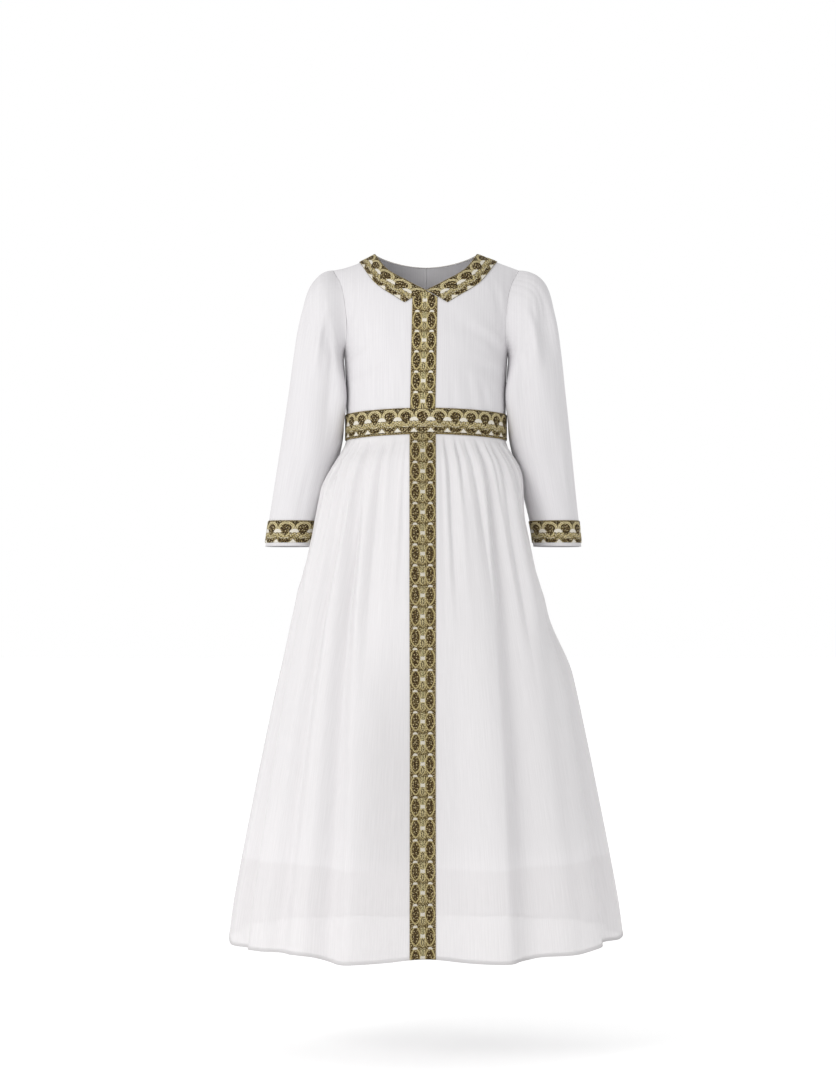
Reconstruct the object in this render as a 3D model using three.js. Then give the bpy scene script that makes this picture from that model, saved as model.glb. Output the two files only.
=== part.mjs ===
// A child's long white kaftan dress, open and rounded as it is when worn, with nobody in it.
// Millimetres, +Z up. The origin lies between the two neck points of the shoulders, where the
// dress hangs. -Y is the front, +X the wearer's left. Each cut piece is a closed wall of cloth.
import * as THREE from 'three';

// ---------------------------------------------------------------- driving sizes
const CLOTH = 1.5;            // wall of the bodice, sleeves and lining
const CHIFFON = 1.2;          // wall of the outer skirt
const RIBBON = 1.2;           // wall of the woven trim
const SEAM_GAP = 0.35;        // air between two pieces that are sewn together
const RIBBON_LIFT = 0.85;     // air under the trim, so that its flat facets clear those below

const NECK = { half: 65, height: 9, backDip: 11 };
const SHOULDER = { half: 119, height: -11, round: 45, rightSag: 3 };
const ARMPIT = -120;
const WAIST_SEAM = -208;
const WAIST_SIDE_DROP = 4;    // the waist hangs this much lower at the sides
const WAISTBAND = { top: -192, bottom: -225 };
const HEM = -868;
const PLACKET = { width: 31.5, skirtWidth: 32.7, neckCentre: -0.3, waistCentre: -4.1 };
const COLLAR = { lean: 3, backDrop: 31 };  // the shoulder end stands this much further left
const CUFF = { from: 0.915, to: 0.992 };   // where the cuff ribbon lies along the sleeve

// Front edge of the neck, from its point to the shoulder, and the outer edge of the collar.
const NECKLINE = [
  { half: 0, height: -43 }, { half: 13.5, height: -36.2 }, { half: 26.5, height: -28.9 },
  { half: 39, height: -21.8 }, { half: 50, height: -13.5 }, { half: 57.5, height: -4 },
  { half: NECK.half, height: NECK.height },
];
const COLLAR_EDGE = [
  { share: 0, half: 27, height: -59 }, { share: 0.25, half: 41.5, height: -49.5 },
  { share: 0.5, half: 55, height: -40.5 }, { share: 0.75, half: 70, height: -27 },
  { share: 1, half: 88, height: 0.5 },
];

// Torso sections: half width, and depth of the front and back from the shoulder plane.
const TORSO = [
  { level: 12, half: 122, front: 45, back: 46 },
  { level: -11, half: 122, front: 52, back: 52 },
  { level: -33, half: 121, front: 61, back: 62 },
  { level: -60, half: 117, front: 71, back: 72 },
  { level: -97, half: 109, front: 79, back: 78 },
  { level: ARMPIT, half: 104.7, front: 80, back: 78 },
  { level: -150, half: 103, front: 80, back: 77 },
  { level: -192, half: 102, front: 78, back: 74 },
  { level: -235, half: 102, front: 78, back: 74 },
];

// Front edge of the armhole, as it runs down the side of the bodice.
const ARMHOLE = [
  { level: SHOULDER.height, half: SHOULDER.half },
  { level: -33, half: 108 },
  { level: -65, half: 102 },
  { level: -97, half: 100.5 },
  { level: ARMPIT, half: 104.7 },
];

// Sleeve sections, from the armhole down. Each is an oval between an inner point beside the body
// and an outer point, with its half depth, and its middle this far behind the shoulder plane.
const SLEEVE = [
  { along: 0, innerX: 105.3, innerZ: -120.6, outerX: 119.6, outerZ: -10.8, depth: 32, mid: 0 },
  { along: 0.05, innerX: 106, innerZ: -128, outerX: 133, outerZ: -13.5, depth: 41, mid: 0 },
  { along: 0.12, innerX: 105.2, innerZ: -135, outerX: 150, outerZ: -32, depth: 45, mid: 1 },
  { along: 0.22, innerX: 104.8, innerZ: -146, outerX: 160, outerZ: -66, depth: 46, mid: 2 },
  { along: 0.34, innerX: 104.4, innerZ: -163, outerX: 168, outerZ: -110, depth: 44.5, mid: 3 },
  { along: 0.48, innerX: 105.4, innerZ: -192, outerX: 175, outerZ: -165, depth: 42, mid: 5 },
  { along: 0.63, innerX: 107.5, innerZ: -231, outerX: 183, outerZ: -222, depth: 39.5, mid: 8 },
  { along: 0.8, innerX: 122, innerZ: -288, outerX: 192, outerZ: -285, depth: 36, mid: 11 },
  { along: 0.93, innerX: 134, innerZ: -337, outerX: 199.5, outerZ: -337, depth: 33.5, mid: 13 },
  { along: 1, innerX: 138, innerZ: -364, outerX: 203, outerZ: -364, depth: 33, mid: 14 },
];
const ARMHOLE_GAP = 1.2;     // the sleeve starts this far outside the cut edge of the armhole
// How much further out each sleeve stands at its head, in its middle and at its cuff.
const SLEEVE_SWAY = {
  left: { head: 6, middle: 2, cuff: -3.5 },
  right: { head: -2, middle: 0, cuff: 3.5 },
};

// Folds that run down a sleeve: angle round it (0 outside, 90 front), half width, depth in mm
// (a ridge is negative), and the stretch of the sleeve that each one crosses.
const SLEEVE_FOLDS = [
  { angle: 58, half: 26, depth: 5.5, from: 0.02, to: 0.42 },
  { angle: 28, half: 20, depth: -3.5, from: 0.04, to: 0.5 },
  { angle: 104, half: 22, depth: 3, from: 0.05, to: 0.3 },
  { angle: 82, half: 18, depth: -2.5, from: 0.1, to: 0.45 },
  { angle: -40, half: 24, depth: 4.5, from: 0.03, to: 0.4 },
  { angle: -85, half: 22, depth: 3, from: 0.06, to: 0.35 },
  { angle: 70, half: 30, depth: 2.5, from: 0.5, to: 0.88 },
  { angle: 142, half: 31, depth: -12, from: 0.04, to: 0.76 },
  { angle: -130, half: 28, depth: 2.5, from: 0.4, to: 0.85 },
];
const SLEEVE_GATHERS = { count: 18, depth: 1.5, spread: 100, peak: 0.06, end: 0.2 };

// Skirt sections, from under the waistband to the hem.
const SKIRT = [
  { level: WAIST_SEAM, half: 102, front: 78, back: 74 },
  { level: -226, half: 102.2, front: 78.3, back: 74.3 },
  { level: -240, half: 111, front: 87, back: 83 },
  { level: -257, half: 122, front: 96, back: 93 },
  { level: -280, half: 130, front: 101, back: 99 },
  { level: -310, half: 137, front: 106, back: 105 },
  { level: -374, half: 151.5, front: 118, back: 118 },
  { level: -435, half: 167, front: 129, back: 129 },
  { level: -504, half: 182, front: 140, back: 140 },
  { level: -561, half: 195, front: 149, back: 149 },
  { level: -689, half: 221, front: 167, back: 167 },
  { level: -817, half: 245, front: 182, back: 182 },
  { level: HEM, half: 252, front: 186, back: 186 },
];

// How far the hem hangs below its middle front, round the skirt (0 front, 90 the wearer's left).
const HEM_DROP = [
  { angle: 180, drop: -12 }, { angle: 140, drop: -14 }, { angle: 112, drop: -14 },
  { angle: 95, drop: -11 }, { angle: 80, drop: -7 }, { angle: 66, drop: -5 }, { angle: 56, drop: 0 },
  { angle: 49, drop: 4 }, { angle: 36, drop: 5.5 }, { angle: 30, drop: 9 }, { angle: 23, drop: 11 },
  { angle: 13, drop: 9 }, { angle: 0, drop: 3.5 }, { angle: -13, drop: 9 }, { angle: -21, drop: 11.5 },
  { angle: -28, drop: 12 }, { angle: -36, drop: 3.5 }, { angle: -46, drop: 2.5 },
  { angle: -60, drop: 2 }, { angle: -72, drop: 3 }, { angle: -81, drop: 0 },
  { angle: -96, drop: -12 }, { angle: -112, drop: -14 }, { angle: -140, drop: -14 },
  { angle: -180, drop: -12 },
];

const NO_END = -1200;         // far enough below the hem that a fold runs out of it undiminished

// Folds of the skirt: angle at the waist and at the hem, half width in degrees at the hem,
// depth in mm (a ridge is negative), the levels where it starts and ends.
const SKIRT_FOLDS = [
  { name: 'beside_band_right', waist: -15, hem: -12, half: 6, depth: 4, from: -228, to: -360 },
  { name: 'inner_right', waist: -29, hem: -20, half: 8, depth: 7, from: -228, to: -560 },
  { name: 'long_right', waist: -44, hem: -30, half: 8.5, depth: 17, from: -235, to: NO_END },
  { name: 'outer_right', waist: -57, hem: -48, half: 8, depth: 12, from: -240, to: NO_END },
  { name: 'side_right', waist: -84, hem: -70, half: 9, depth: 15, from: -330, to: NO_END },
  { name: 'beside_band_left', waist: 20, hem: 16, half: 6, depth: 4, from: -228, to: -330 },
  { name: 'inner_left', waist: 34, hem: 22, half: 6.5, depth: 6, from: -228, to: -420 },
  { name: 'long_left', waist: 41, hem: 31, half: 8.5, depth: 17, from: -232, to: NO_END },
  { name: 'outer_left', waist: 53, hem: 47, half: 7.5, depth: 9, from: -232, to: -520 },
  { name: 'edge_left', waist: 82, hem: 67, half: 9.5, depth: 17, from: -330, to: NO_END },
  { name: 'edge_ridge_left', waist: 74, hem: 58, half: 9, depth: -5, from: -300, to: NO_END },
  { name: 'behind_left_1', waist: 108, hem: 96, half: 9.5, depth: 17, from: -300, to: NO_END },
  { name: 'behind_left_2', waist: 122, hem: 118, half: 9, depth: 14, from: -240, to: NO_END },
  { name: 'behind_left_3', waist: 140, hem: 141, half: 10, depth: 18, from: -236, to: NO_END },
  { name: 'behind_left_4', waist: 158, hem: 163, half: 8.5, depth: 13, from: -240, to: NO_END },
  { name: 'behind_right_1', waist: -106, hem: -97, half: 9, depth: 15, from: -310, to: NO_END },
  { name: 'behind_right_2', waist: -124, hem: -122, half: 10.5, depth: 18, from: -240, to: NO_END },
  { name: 'behind_right_3', waist: -144, hem: -147, half: 9, depth: 13, from: -236, to: NO_END },
  { name: 'behind_right_4', waist: -163, hem: -169, half: 9.5, depth: 17, from: -240, to: NO_END },
];

// Where the sleeves and the wearer's left hand press the skirt in, and where it bulges beside
// them (a negative depth): angle, half width, depth, and the levels where a press starts, is
// full, begins to fade and ends.
const SKIRT_PRESSES = [
  { name: 'sleeve_left', angle: 106, half: 27, depth: 12, start: -226, full: -262, fade: -372, end: -430 },
  { name: 'sleeve_right', angle: -107, half: 28, depth: 24, start: -228, full: -264, fade: -374, end: -425 },
  { name: 'hand_left', angle: 84, half: 34, depth: 13.5, start: -264, full: -335, fade: -450, end: -530 },
  { name: 'bulge_left', angle: 64, half: 18, depth: -4, start: -250, full: -320, fade: -420, end: -520 },
  { name: 'bulge_right', angle: -76, half: 15, depth: -6.5, start: -250, full: -290, fade: -385, end: -450 },
  { name: 'valley', angle: -1, half: 26, depth: 9, start: -400, full: -620, fade: NO_END, end: 2 * NO_END },
];

// Gathers at the waist. They are deepest a little below the waistband and fade into the folds.
const GATHER_COUNT = 44;
const GATHERS = [
  { level: WAIST_SEAM, depth: 0 },
  { level: -226, depth: 0.1 },
  { level: -236, depth: 1.7 },
  { level: -258, depth: 2.5 },
  { level: -300, depth: 2.5 },
  { level: -370, depth: 1.5 },
  { level: -440, depth: 0.6 },
  { level: -520, depth: 0 },
  { level: HEM, depth: 0 },
];
const FLAT_UNDER_BAND = { half: 17, blend: 12 };   // the centre ribbon holds the skirt flat

// Lining sections, straight below the waist and shorter than the skirt. It has swung to the left.
const LINING = [
  { level: WAIST_SEAM, half: 99.6, front: 75.6, back: 71.6, shift: 0 },
  { level: -226, half: 99.6, front: 75.6, back: 71.6, shift: 0 },
  { level: -250, half: 101, front: 77.5, back: 73.5, shift: 0 },
  { level: -310, half: 115, front: 88, back: 86, shift: 0 },
  { level: -435, half: 136, front: 106, back: 106, shift: 2 },
  { level: -560, half: 160, front: 125, back: 125, shift: 6 },
  { level: -757, half: 191, front: 150, back: 150, shift: 13 },
];
const LINING_HEM = { front: -757, side: 12 };     // the sides end this much higher
const LINING_FOLDS = [
  { angle: 12, half: 12, depth: -5 }, { angle: 33, half: 9, depth: 8 },
  { angle: 54, half: 9, depth: 9 }, { angle: 80, half: 12, depth: 6 },
  { angle: 118, half: 14, depth: 8 }, { angle: 152, half: 13, depth: 7 },
  { angle: -30, half: 10, depth: 6 }, { angle: -58, half: 11, depth: 8 },
  { angle: -92, half: 13, depth: 6 }, { angle: -128, half: 14, depth: 8 },
  { angle: -162, half: 12, depth: 6 },
];

const COLOURS = { cloth: 0xf1f0f2, chiffon: 0xf4f3f6, lining: 0xf3f2f3, ribbon: 0x6f6433 };

// ---------------------------------------------------------------- small tools
const radians = THREE.MathUtils.degToRad;
const mix = THREE.MathUtils.lerp;
const clamp = THREE.MathUtils.clamp;
const smooth = (x) => THREE.MathUtils.smoothstep(x, 0, 1);

// A smooth value of one column of a table at a place along its key column.
function lookup(table, key, column, place) {
  const rising = table[1][key] > table[0][key];
  const last = table.length - 1;
  const before = (row) => (rising ? table[row][key] <= place : table[row][key] >= place);
  let i = 0;
  while (i < last - 1 && before(i + 1)) i += 1;
  const slope = (row) => {
    const low = Math.max(row - 1, 0);
    const high = Math.min(row + 1, last);
    return (table[high][column] - table[low][column]) / (table[high][key] - table[low][key]);
  };
  const step = table[i + 1][key] - table[i][key];
  const t = clamp((place - table[i][key]) / step, 0, 1);
  const t2 = t * t;
  const t3 = t2 * t;
  return (2 * t3 - 3 * t2 + 1) * table[i][column] + (t3 - 2 * t2 + t) * step * slope(i)
    + (3 * t2 - 2 * t3) * table[i + 1][column] + (t3 - t2) * step * slope(i + 1);
}

// Degrees between two directions, from -180 to 180.
function turnBetween(a, b) {
  return THREE.MathUtils.euclideanModulo(a - b + 180, 360) - 180;
}

// A soft bump: 1 in its middle and 0 at its half width and beyond.
function bump(offset, half) {
  return Math.abs(offset) < half ? (1 + Math.cos(Math.PI * offset / half)) / 2 : 0;
}

// Values at even steps, both ends included.
const evenly = (steps, from, to) => (
  Array.from({ length: steps + 1 }, (_, i) => mix(from, to, i / steps))
);

// ---------------------------------------------------------------- cloth walls
// A closed wall from rows of points. A row is { at, outer, inner }: the running value of each
// point across the row, and the two faces. Neighbouring rows may have different counts. Rows run
// upwards, and "at" rises to the wearer's left in front. A ring joins its last point to its first.
function clothWall(name, rows, colour, { ring = false } = {}) {
  const corners = [];
  const place = (point) => corners.push(point.x, point.y, point.z) / 3 - 1;
  const laid = rows.map((row) => ({
    at: ring ? [...row.at, row.at[0] + 360] : row.at,
    outer: row.outer.map(place),
    inner: row.inner.map(place),
  }));
  if (ring) {
    laid.forEach((row) => {
      row.outer.push(row.outer[0]);
      row.inner.push(row.inner[0]);
    });
  }
  const faces = [];
  const stitch = (low, high, lowAt, highAt, flipped) => {
    let i = 0;
    let j = 0;
    while (i < low.length - 1 || j < high.length - 1) {
      const lowNext = i < low.length - 1 ? lowAt[i + 1] : Infinity;
      const highNext = j < high.length - 1 ? highAt[j + 1] : Infinity;
      const face = lowNext <= highNext ? [low[i], low[i + 1], high[j]] : [low[i], high[j + 1], high[j]];
      if (lowNext <= highNext) i += 1;
      else j += 1;
      faces.push(...(flipped ? face.reverse() : face));
    }
  };
  for (let i = 0; i < laid.length - 1; i += 1) {
    const [low, high] = [laid[i], laid[i + 1]];
    stitch(low.outer, high.outer, low.at, high.at, false);
    stitch(low.inner, high.inner, low.at, high.at, true);
    if (!ring) {
      const [a, b] = [low.outer.length - 1, high.outer.length - 1];
      faces.push(low.inner[0], low.outer[0], high.outer[0], low.inner[0], high.outer[0], high.inner[0]);
      faces.push(low.outer[a], low.inner[a], high.inner[b], low.outer[a], high.inner[b], high.outer[b]);
    }
  }
  const rim = (row, flipped) => stitch(row.inner, row.outer, row.at, row.at, flipped);
  rim(laid[0], false);
  rim(laid[laid.length - 1], true);
  const geometry = new THREE.BufferGeometry();
  geometry.setAttribute('position', new THREE.Float32BufferAttribute(corners, 3));
  geometry.setIndex(faces);
  geometry.computeVertexNormals();
  const material = new THREE.MeshStandardMaterial({ color: colour, roughness: 0.85, metalness: 0 });
  const mesh = new THREE.Mesh(geometry, material);
  mesh.name = name;
  return mesh;
}

// One row of a wall: the surface lifted off its host by "lift", and its inner face a wall below.
function rowFrom(at, surface, normal, thickness, lift = 0) {
  const outer = at.map((u) => surface(u).addScaledVector(normal(u), lift + (lift > 0 ? thickness : 0)));
  const inner = outer.map((point, i) => point.clone().addScaledVector(normal(at[i]), -thickness));
  return { at, outer, inner };
}

// ---------------------------------------------------------------- torso
const shoulderLine = (x) => {
  const share = (Math.abs(x) - NECK.half) / (SHOULDER.half - NECK.half);
  const inside = clamp(share, 0, 1);
  const sag = x < 0 ? SHOULDER.rightSag * 4 * inside * (1 - inside) : 0;
  return mix(NECK.height, SHOULDER.height, share) - sag;
};

// How rounded the torso is below the shoulder line: 0 on the line, 1 well below it.
function shoulderRound(x, z) {
  const below = Math.min((shoulderLine(x) - z) / SHOULDER.round, 1);
  return 1 - (1 - below) ** 2;
}

// face is -1 in front and 1 behind.
function torsoPoint(face, x, z) {
  const half = lookup(TORSO, 'level', 'half', z);
  const depth = lookup(TORSO, 'level', face < 0 ? 'front' : 'back', z);
  const across = Math.sqrt(Math.max(0, 1 - (x / half) ** 2));
  return new THREE.Vector3(x, face * depth * across * Math.sqrt(Math.max(0, shoulderRound(x, z))), z);
}

function torsoNormal(point) {
  const outside = (x, y, z) => {
    const half = lookup(TORSO, 'level', 'half', z);
    const depth = lookup(TORSO, 'level', y < 0 ? 'front' : 'back', z);
    return (y / depth) ** 2 - (1 - (x / half) ** 2) * shoulderRound(x, z);
  };
  const { x, y, z } = point;
  const h = 0.05;
  return new THREE.Vector3(
    outside(x + h, y, z) - outside(x - h, y, z),
    outside(x, y + h, z) - outside(x, y - h, z),
    outside(x, y, z + h) - outside(x, y, z - h),
  ).normalize();
}

const waistDrop = (x) => WAIST_SIDE_DROP * (x / TORSO[TORSO.length - 1].half) ** 2;

// ---------------------------------------------------------------- bodice
const HALF_COLUMNS = 11;
const NECK_SHARE = 5 / HALF_COLUMNS;      // columns of a half panel that end on the neckline

function neckline(face, x) {
  if (face < 0) return lookup(NECKLINE, 'half', 'height', Math.abs(x));
  return NECK.height - NECK.backDip * (1 - (x / NECK.half) ** 2);
}

// across runs from 0 at the middle to 1 at the side, up from 0 at the waist seam to 1 at the top.
function bodicePoint(face, across, up) {
  const side = Math.sign(across) || 1;
  const share = Math.abs(across);
  const seamHalf = lookup(TORSO, 'level', 'half', WAIST_SEAM);
  const low = new THREE.Vector2(seamHalf * Math.sin(radians(90 * share)), WAIST_SEAM + SEAM_GAP);
  low.y -= waistDrop(low.x);
  const high = new THREE.Vector2();
  if (share < NECK_SHARE) {
    high.x = NECK.half * share / NECK_SHARE;
    high.y = neckline(face, high.x);
  } else {
    high.x = mix(NECK.half, SHOULDER.half, (share - NECK_SHARE) / (1 - NECK_SHARE));
    high.y = shoulderLine(side * high.x);
  }
  const edgeZ = mix(WAIST_SEAM + SEAM_GAP - WAIST_SIDE_DROP, SHOULDER.height, up);
  const edgeX = lookup(edgeZ < ARMPIT ? TORSO : ARMHOLE, 'level', 'half', edgeZ);
  const pull = edgeX - mix(seamHalf, SHOULDER.half, up);
  const x = mix(low.x, high.x, up) + pull * share ** 3;
  return torsoPoint(face, side * x, mix(low.y, high.y, up));
}

function bodicePanel(name, face, from, to) {
  const columns = evenly(Math.round(HALF_COLUMNS * (to - from)), from, to);
  const seamShift = face * SEAM_GAP / 2;
  const nudge = (across) => (face > 0 && across === 0 ? Math.sign(from + to) * SEAM_GAP / 2 : 0);
  const ups = evenly(11, 0, 1).map((t) => 1 - (1 - t) ** 1.25);
  const rows = ups.map((up) => {
    // Columns are named so that they rise to the wearer's left in front and to the right behind.
    const at = face < 0 ? columns : [...columns].reverse();
    const points = at.map((across) => bodicePoint(face, across, up));
    const shift = (i) => new THREE.Vector3(nudge(at[i]), seamShift, 0);
    const outer = points.map((point, i) => point.clone().add(shift(i)));
    const inner = points.map((point, i) => {
      const moved = outer[i].clone().addScaledVector(torsoNormal(point), -CLOTH);
      moved.y = face < 0 ? Math.min(moved.y, seamShift) : Math.max(moved.y, seamShift);
      return moved;
    });
    return { at: at.map((across) => -face * across), outer, inner };
  });
  return clothWall(name, rows, COLOURS.cloth);
}

// ---------------------------------------------------------------- sleeves
// side is 1 for the wearer's left. angle is 0 outside, 90 in front, 180 beside the body.
function sleeveSection(side, angle, along) {
  const sway = SLEEVE_SWAY[side > 0 ? 'left' : 'right'];
  const get = (column) => lookup(SLEEVE, 'along', column, along);
  const swayed = mix(sway.head, sway.cuff, along) + sway.middle * bump(along - 0.5, 0.5);
  const outward = swayed * smooth(along / 0.1);
  const inner = new THREE.Vector2(get('innerX'), get('innerZ'));
  const outer = new THREE.Vector2(get('outerX') + outward, get('outerZ'));
  const reach = (1 + Math.cos(radians(angle))) / 2;
  const y = get('mid') - get('depth') * Math.sin(radians(angle));
  return new THREE.Vector3(side * mix(inner.x, outer.x, reach), y, mix(inner.y, outer.y, reach));
}

// The armhole seam of the bodice at an angle of the sleeve.
function armholePoint(side, angle) {
  const face = Math.sin(radians(angle)) >= 0 ? -1 : 1;
  const z = mix(ARMPIT - 0.6, SHOULDER.height + 0.3, (1 + Math.cos(radians(angle))) / 2);
  const x = lookup(ARMHOLE, 'level', 'half', z);
  const { y } = torsoPoint(face, side * x, z);
  return new THREE.Vector3(side * (x + ARMHOLE_GAP), y, z);
}

function sleevePoint(side, angle, along) {
  const onOval = sleeveSection(side, angle, along);
  const seam = armholePoint(side, angle);
  const point = seam.lerp(onOval, smooth(along / 0.07));
  const middle = sleeveSection(side, 0, along).add(sleeveSection(side, 180, along)).multiplyScalar(0.5);
  const away = point.clone().sub(middle).setY(point.y - middle.y).normalize();
  let push = 0;
  for (const fold of SLEEVE_FOLDS) {
    const along01 = (along - fold.from) / (fold.to - fold.from);
    push -= fold.depth * bump(turnBetween(angle, fold.angle), fold.half) * bump(along01 - 0.5, 0.5);
  }
  const { count, depth, spread, peak, end } = SLEEVE_GATHERS;
  const strength = smooth(along / peak) * (1 - smooth((along - peak) / (end - peak)));
  const reach = bump(turnBetween(angle, 0), spread);
  push += depth * strength * reach * Math.cos(radians(angle * count));
  return point.addScaledVector(away, push);
}

const SLEEVE_ROWS = [0, 0.025, 0.06, 0.11, 0.17, 0.25, 0.36, 0.48, 0.61, 0.76, 0.9, 1];
const FINE_SLEEVE_ROWS = 5;   // the first rows have twice the columns, for the gathers
const SLEEVE_COLUMNS = 20;

function sleeveRow(side, along, count, thickness, lift = 0) {
  // Rings run to the wearer's left in front, so the angle falls on the left side.
  const at = evenly(count, 0, 360).slice(0, -1);
  const angleOf = (u) => (side > 0 ? 180 - u : u);
  const surface = (u) => sleevePoint(side, angleOf(u), along);
  const normal = (u) => {
    const low = Math.min(along + 0.004, 1);
    const high = Math.max(along - 0.004, 0);
    const at01 = (turn, place) => sleevePoint(side, angleOf(u + turn), place);
    const round = at01(0.5, along).sub(at01(-0.5, along));
    return round.cross(at01(0, high).sub(at01(0, low))).normalize();
  };
  return rowFrom(at, surface, normal, thickness, lift);
}

function sleeve(name, side) {
  const count = (i) => (i < FINE_SLEEVE_ROWS ? 2 * SLEEVE_COLUMNS : SLEEVE_COLUMNS);
  const rows = SLEEVE_ROWS.map((along, i) => sleeveRow(side, along, count(i), CLOTH));
  return clothWall(name, rows.reverse(), COLOURS.cloth, { ring: true });
}

function cuffRibbon(name, side) {
  const middle = (CUFF.from + CUFF.to) / 2;
  const rows = [CUFF.to, middle, CUFF.from].map((along) => (
    sleeveRow(side, along, SLEEVE_COLUMNS, RIBBON, RIBBON_LIFT)
  ));
  return clothWall(name, rows, COLOURS.ribbon, { ring: true });
}

// ---------------------------------------------------------------- skirt
const fall01 = (level) => clamp((WAIST_SEAM - level) / (WAIST_SEAM - HEM), 0, 1);

function gatherPhase(angle) {
  const a = radians(angle);
  const uneven = 0.5 * Math.sin(3 * a + 1) + 0.3 * Math.sin(7 * a) + 0.15 * Math.sin(13 * a + 2);
  return GATHER_COUNT * angle / 360 + uneven;
}

const PRESS_FLATNESS = 1.7;   // over 1, a press is flat in its middle and has steeper sides

// How far the sleeves and the hand press the skirt and its lining in.
function pressDepth(angle, level) {
  let depth = 0;
  for (const press of SKIRT_PRESSES) {
    const begun = smooth((press.start - level) / (press.start - press.full));
    const left = smooth((level - press.end) / (press.fade - press.end));
    const turned = Math.abs(turnBetween(angle, press.angle)) / press.half;
    depth += press.depth * begun * left * smooth(PRESS_FLATNESS * (1 - turned));
  }
  return depth;
}

// How deep the cloth lies inside its section at an angle and level.
function skirtDepth(angle, level) {
  const down = fall01(level);
  const half = lookup(SKIRT, 'level', 'half', level);
  const offBand = Math.abs(half * Math.sin(radians(angle)) - PLACKET.waistCentre) - FLAT_UNDER_BAND.half;
  const free = Math.cos(radians(angle)) > 0 ? smooth(offBand / FLAT_UNDER_BAND.blend) : 1;
  const wave = 1 - Math.cos(2 * Math.PI * gatherPhase(angle));
  let depth = lookup(GATHERS, 'level', 'depth', level) * free * wave;
  for (const fold of SKIRT_FOLDS) {
    const middle = mix(fold.hem, fold.waist, (1 - down) ** 1.6);
    const span = fold.half * mix(0.75, 1, down);
    const start = smooth((fold.from - level) / 200) ** 0.8;
    const end = 1 - smooth((fold.to + 120 - level) / 120);
    depth += fold.depth * bump(turnBetween(angle, middle), span) * start * end * free * mix(0.5, 1, down);
  }
  return depth + pressDepth(angle, level);
}

function skirtPoint(angle, level) {
  const a = radians(angle);
  const half = lookup(SKIRT, 'level', 'half', level);
  const depth = lookup(SKIRT, 'level', Math.cos(a) > 0 ? 'front' : 'back', level);
  const out = new THREE.Vector3(Math.sin(a) / half, -Math.cos(a) / depth, 0).normalize();
  const down = fall01(level);
  const turned = turnBetween(angle, 0);
  const z = level - WAIST_SIDE_DROP * Math.sin(a) ** 2 * (1 - smooth(down * 3))
    - lookup(HEM_DROP, 'angle', 'drop', turned) * down ** 3;
  return new THREE.Vector3(half * Math.sin(a), -depth * Math.cos(a), z)
    .addScaledVector(out, -skirtDepth(angle, level));
}

const skirtNormal = (angle, level) => {
  const top = Math.min(level + 1, WAIST_SEAM);
  const low = Math.max(level - 1, HEM);
  const alongU = skirtPoint(angle + 0.3, level).sub(skirtPoint(angle - 0.3, level));
  return alongU.cross(skirtPoint(angle, top).sub(skirtPoint(angle, low))).normalize();
};

// Angles where the gathers crest, dip and cross between them, from one angle to another.
function gatherAngles(from, to, perGather) {
  const angles = [from];
  const first = Math.ceil(gatherPhase(from) * perGather + 0.3);
  const last = Math.floor(gatherPhase(to) * perGather - 0.3);
  for (let k = first; k <= last; k += 1) {
    let [low, high] = [from, to];
    for (let i = 0; i < 40; i += 1) {
      const middle = (low + high) / 2;
      if (gatherPhase(middle) < k / perGather) low = middle;
      else high = middle;
    }
    angles.push((low + high) / 2);
  }
  return [...angles, to];
}

const SKIRT_TOP_ROWS = [WAIST_SEAM - SEAM_GAP, -226, -236, -250, -272, -312, -370];
const SKIRT_LOW_ROWS = [-425, -490, -560, -640, -715, -795, HEM];

function skirtPanel(name, from, to) {
  const edge = 0.12;          // degrees that the side seam keeps open
  const fine = gatherAngles(from + edge, to - edge, 4);
  const coarse = gatherAngles(from + edge, to - edge, 2);
  const rows = [...SKIRT_TOP_ROWS, ...SKIRT_LOW_ROWS].map((level, i) => {
    const at = i < SKIRT_TOP_ROWS.length ? fine : coarse;
    return rowFrom(at, (u) => skirtPoint(u, level), (u) => skirtNormal(u, level), CHIFFON);
  });
  return clothWall(name, rows.reverse(), COLOURS.chiffon);
}

// ---------------------------------------------------------------- lining
function liningPoint(angle, down) {
  const a = radians(angle);
  const level = mix(WAIST_SEAM - SEAM_GAP, LINING_HEM.front, down);
  const get = (column) => lookup(LINING, 'level', column, level);
  const half = get('half');
  const depth = get(Math.cos(a) > 0 ? 'front' : 'back');
  const out = new THREE.Vector3(Math.sin(a) / half, -Math.cos(a) / depth, 0).normalize();
  let inward = pressDepth(angle, level);
  for (const fold of LINING_FOLDS) {
    inward += fold.depth * bump(turnBetween(angle, fold.angle), fold.half) * smooth(1.4 * down - 0.2);
  }
  const z = level - WAIST_SIDE_DROP * Math.sin(a) ** 2 * (1 - smooth(down * 3))
    + LINING_HEM.side * Math.sin(a) ** 2 * down ** 3;
  return new THREE.Vector3(half * Math.sin(a) + get('shift'), -depth * Math.cos(a), z)
    .addScaledVector(out, -inward);
}

function liningPanel(name, from, to) {
  const edge = 0.25;
  const at = evenly(26, from + edge, to - edge);
  const rows = [0, 0.04, 0.12, 0.26, 0.5, 0.75, 1].map((down) => {
    const high = Math.max(down - 0.005, 0);
    const low = Math.min(down + 0.005, 1);
    const normal = (u) => liningPoint(u + 0.3, down).sub(liningPoint(u - 0.3, down))
      .cross(liningPoint(u, high).sub(liningPoint(u, low))).normalize();
    return rowFrom(at, (u) => liningPoint(u, down), normal, CLOTH);
  });
  return clothWall(name, rows.reverse(), COLOURS.lining);
}

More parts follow.
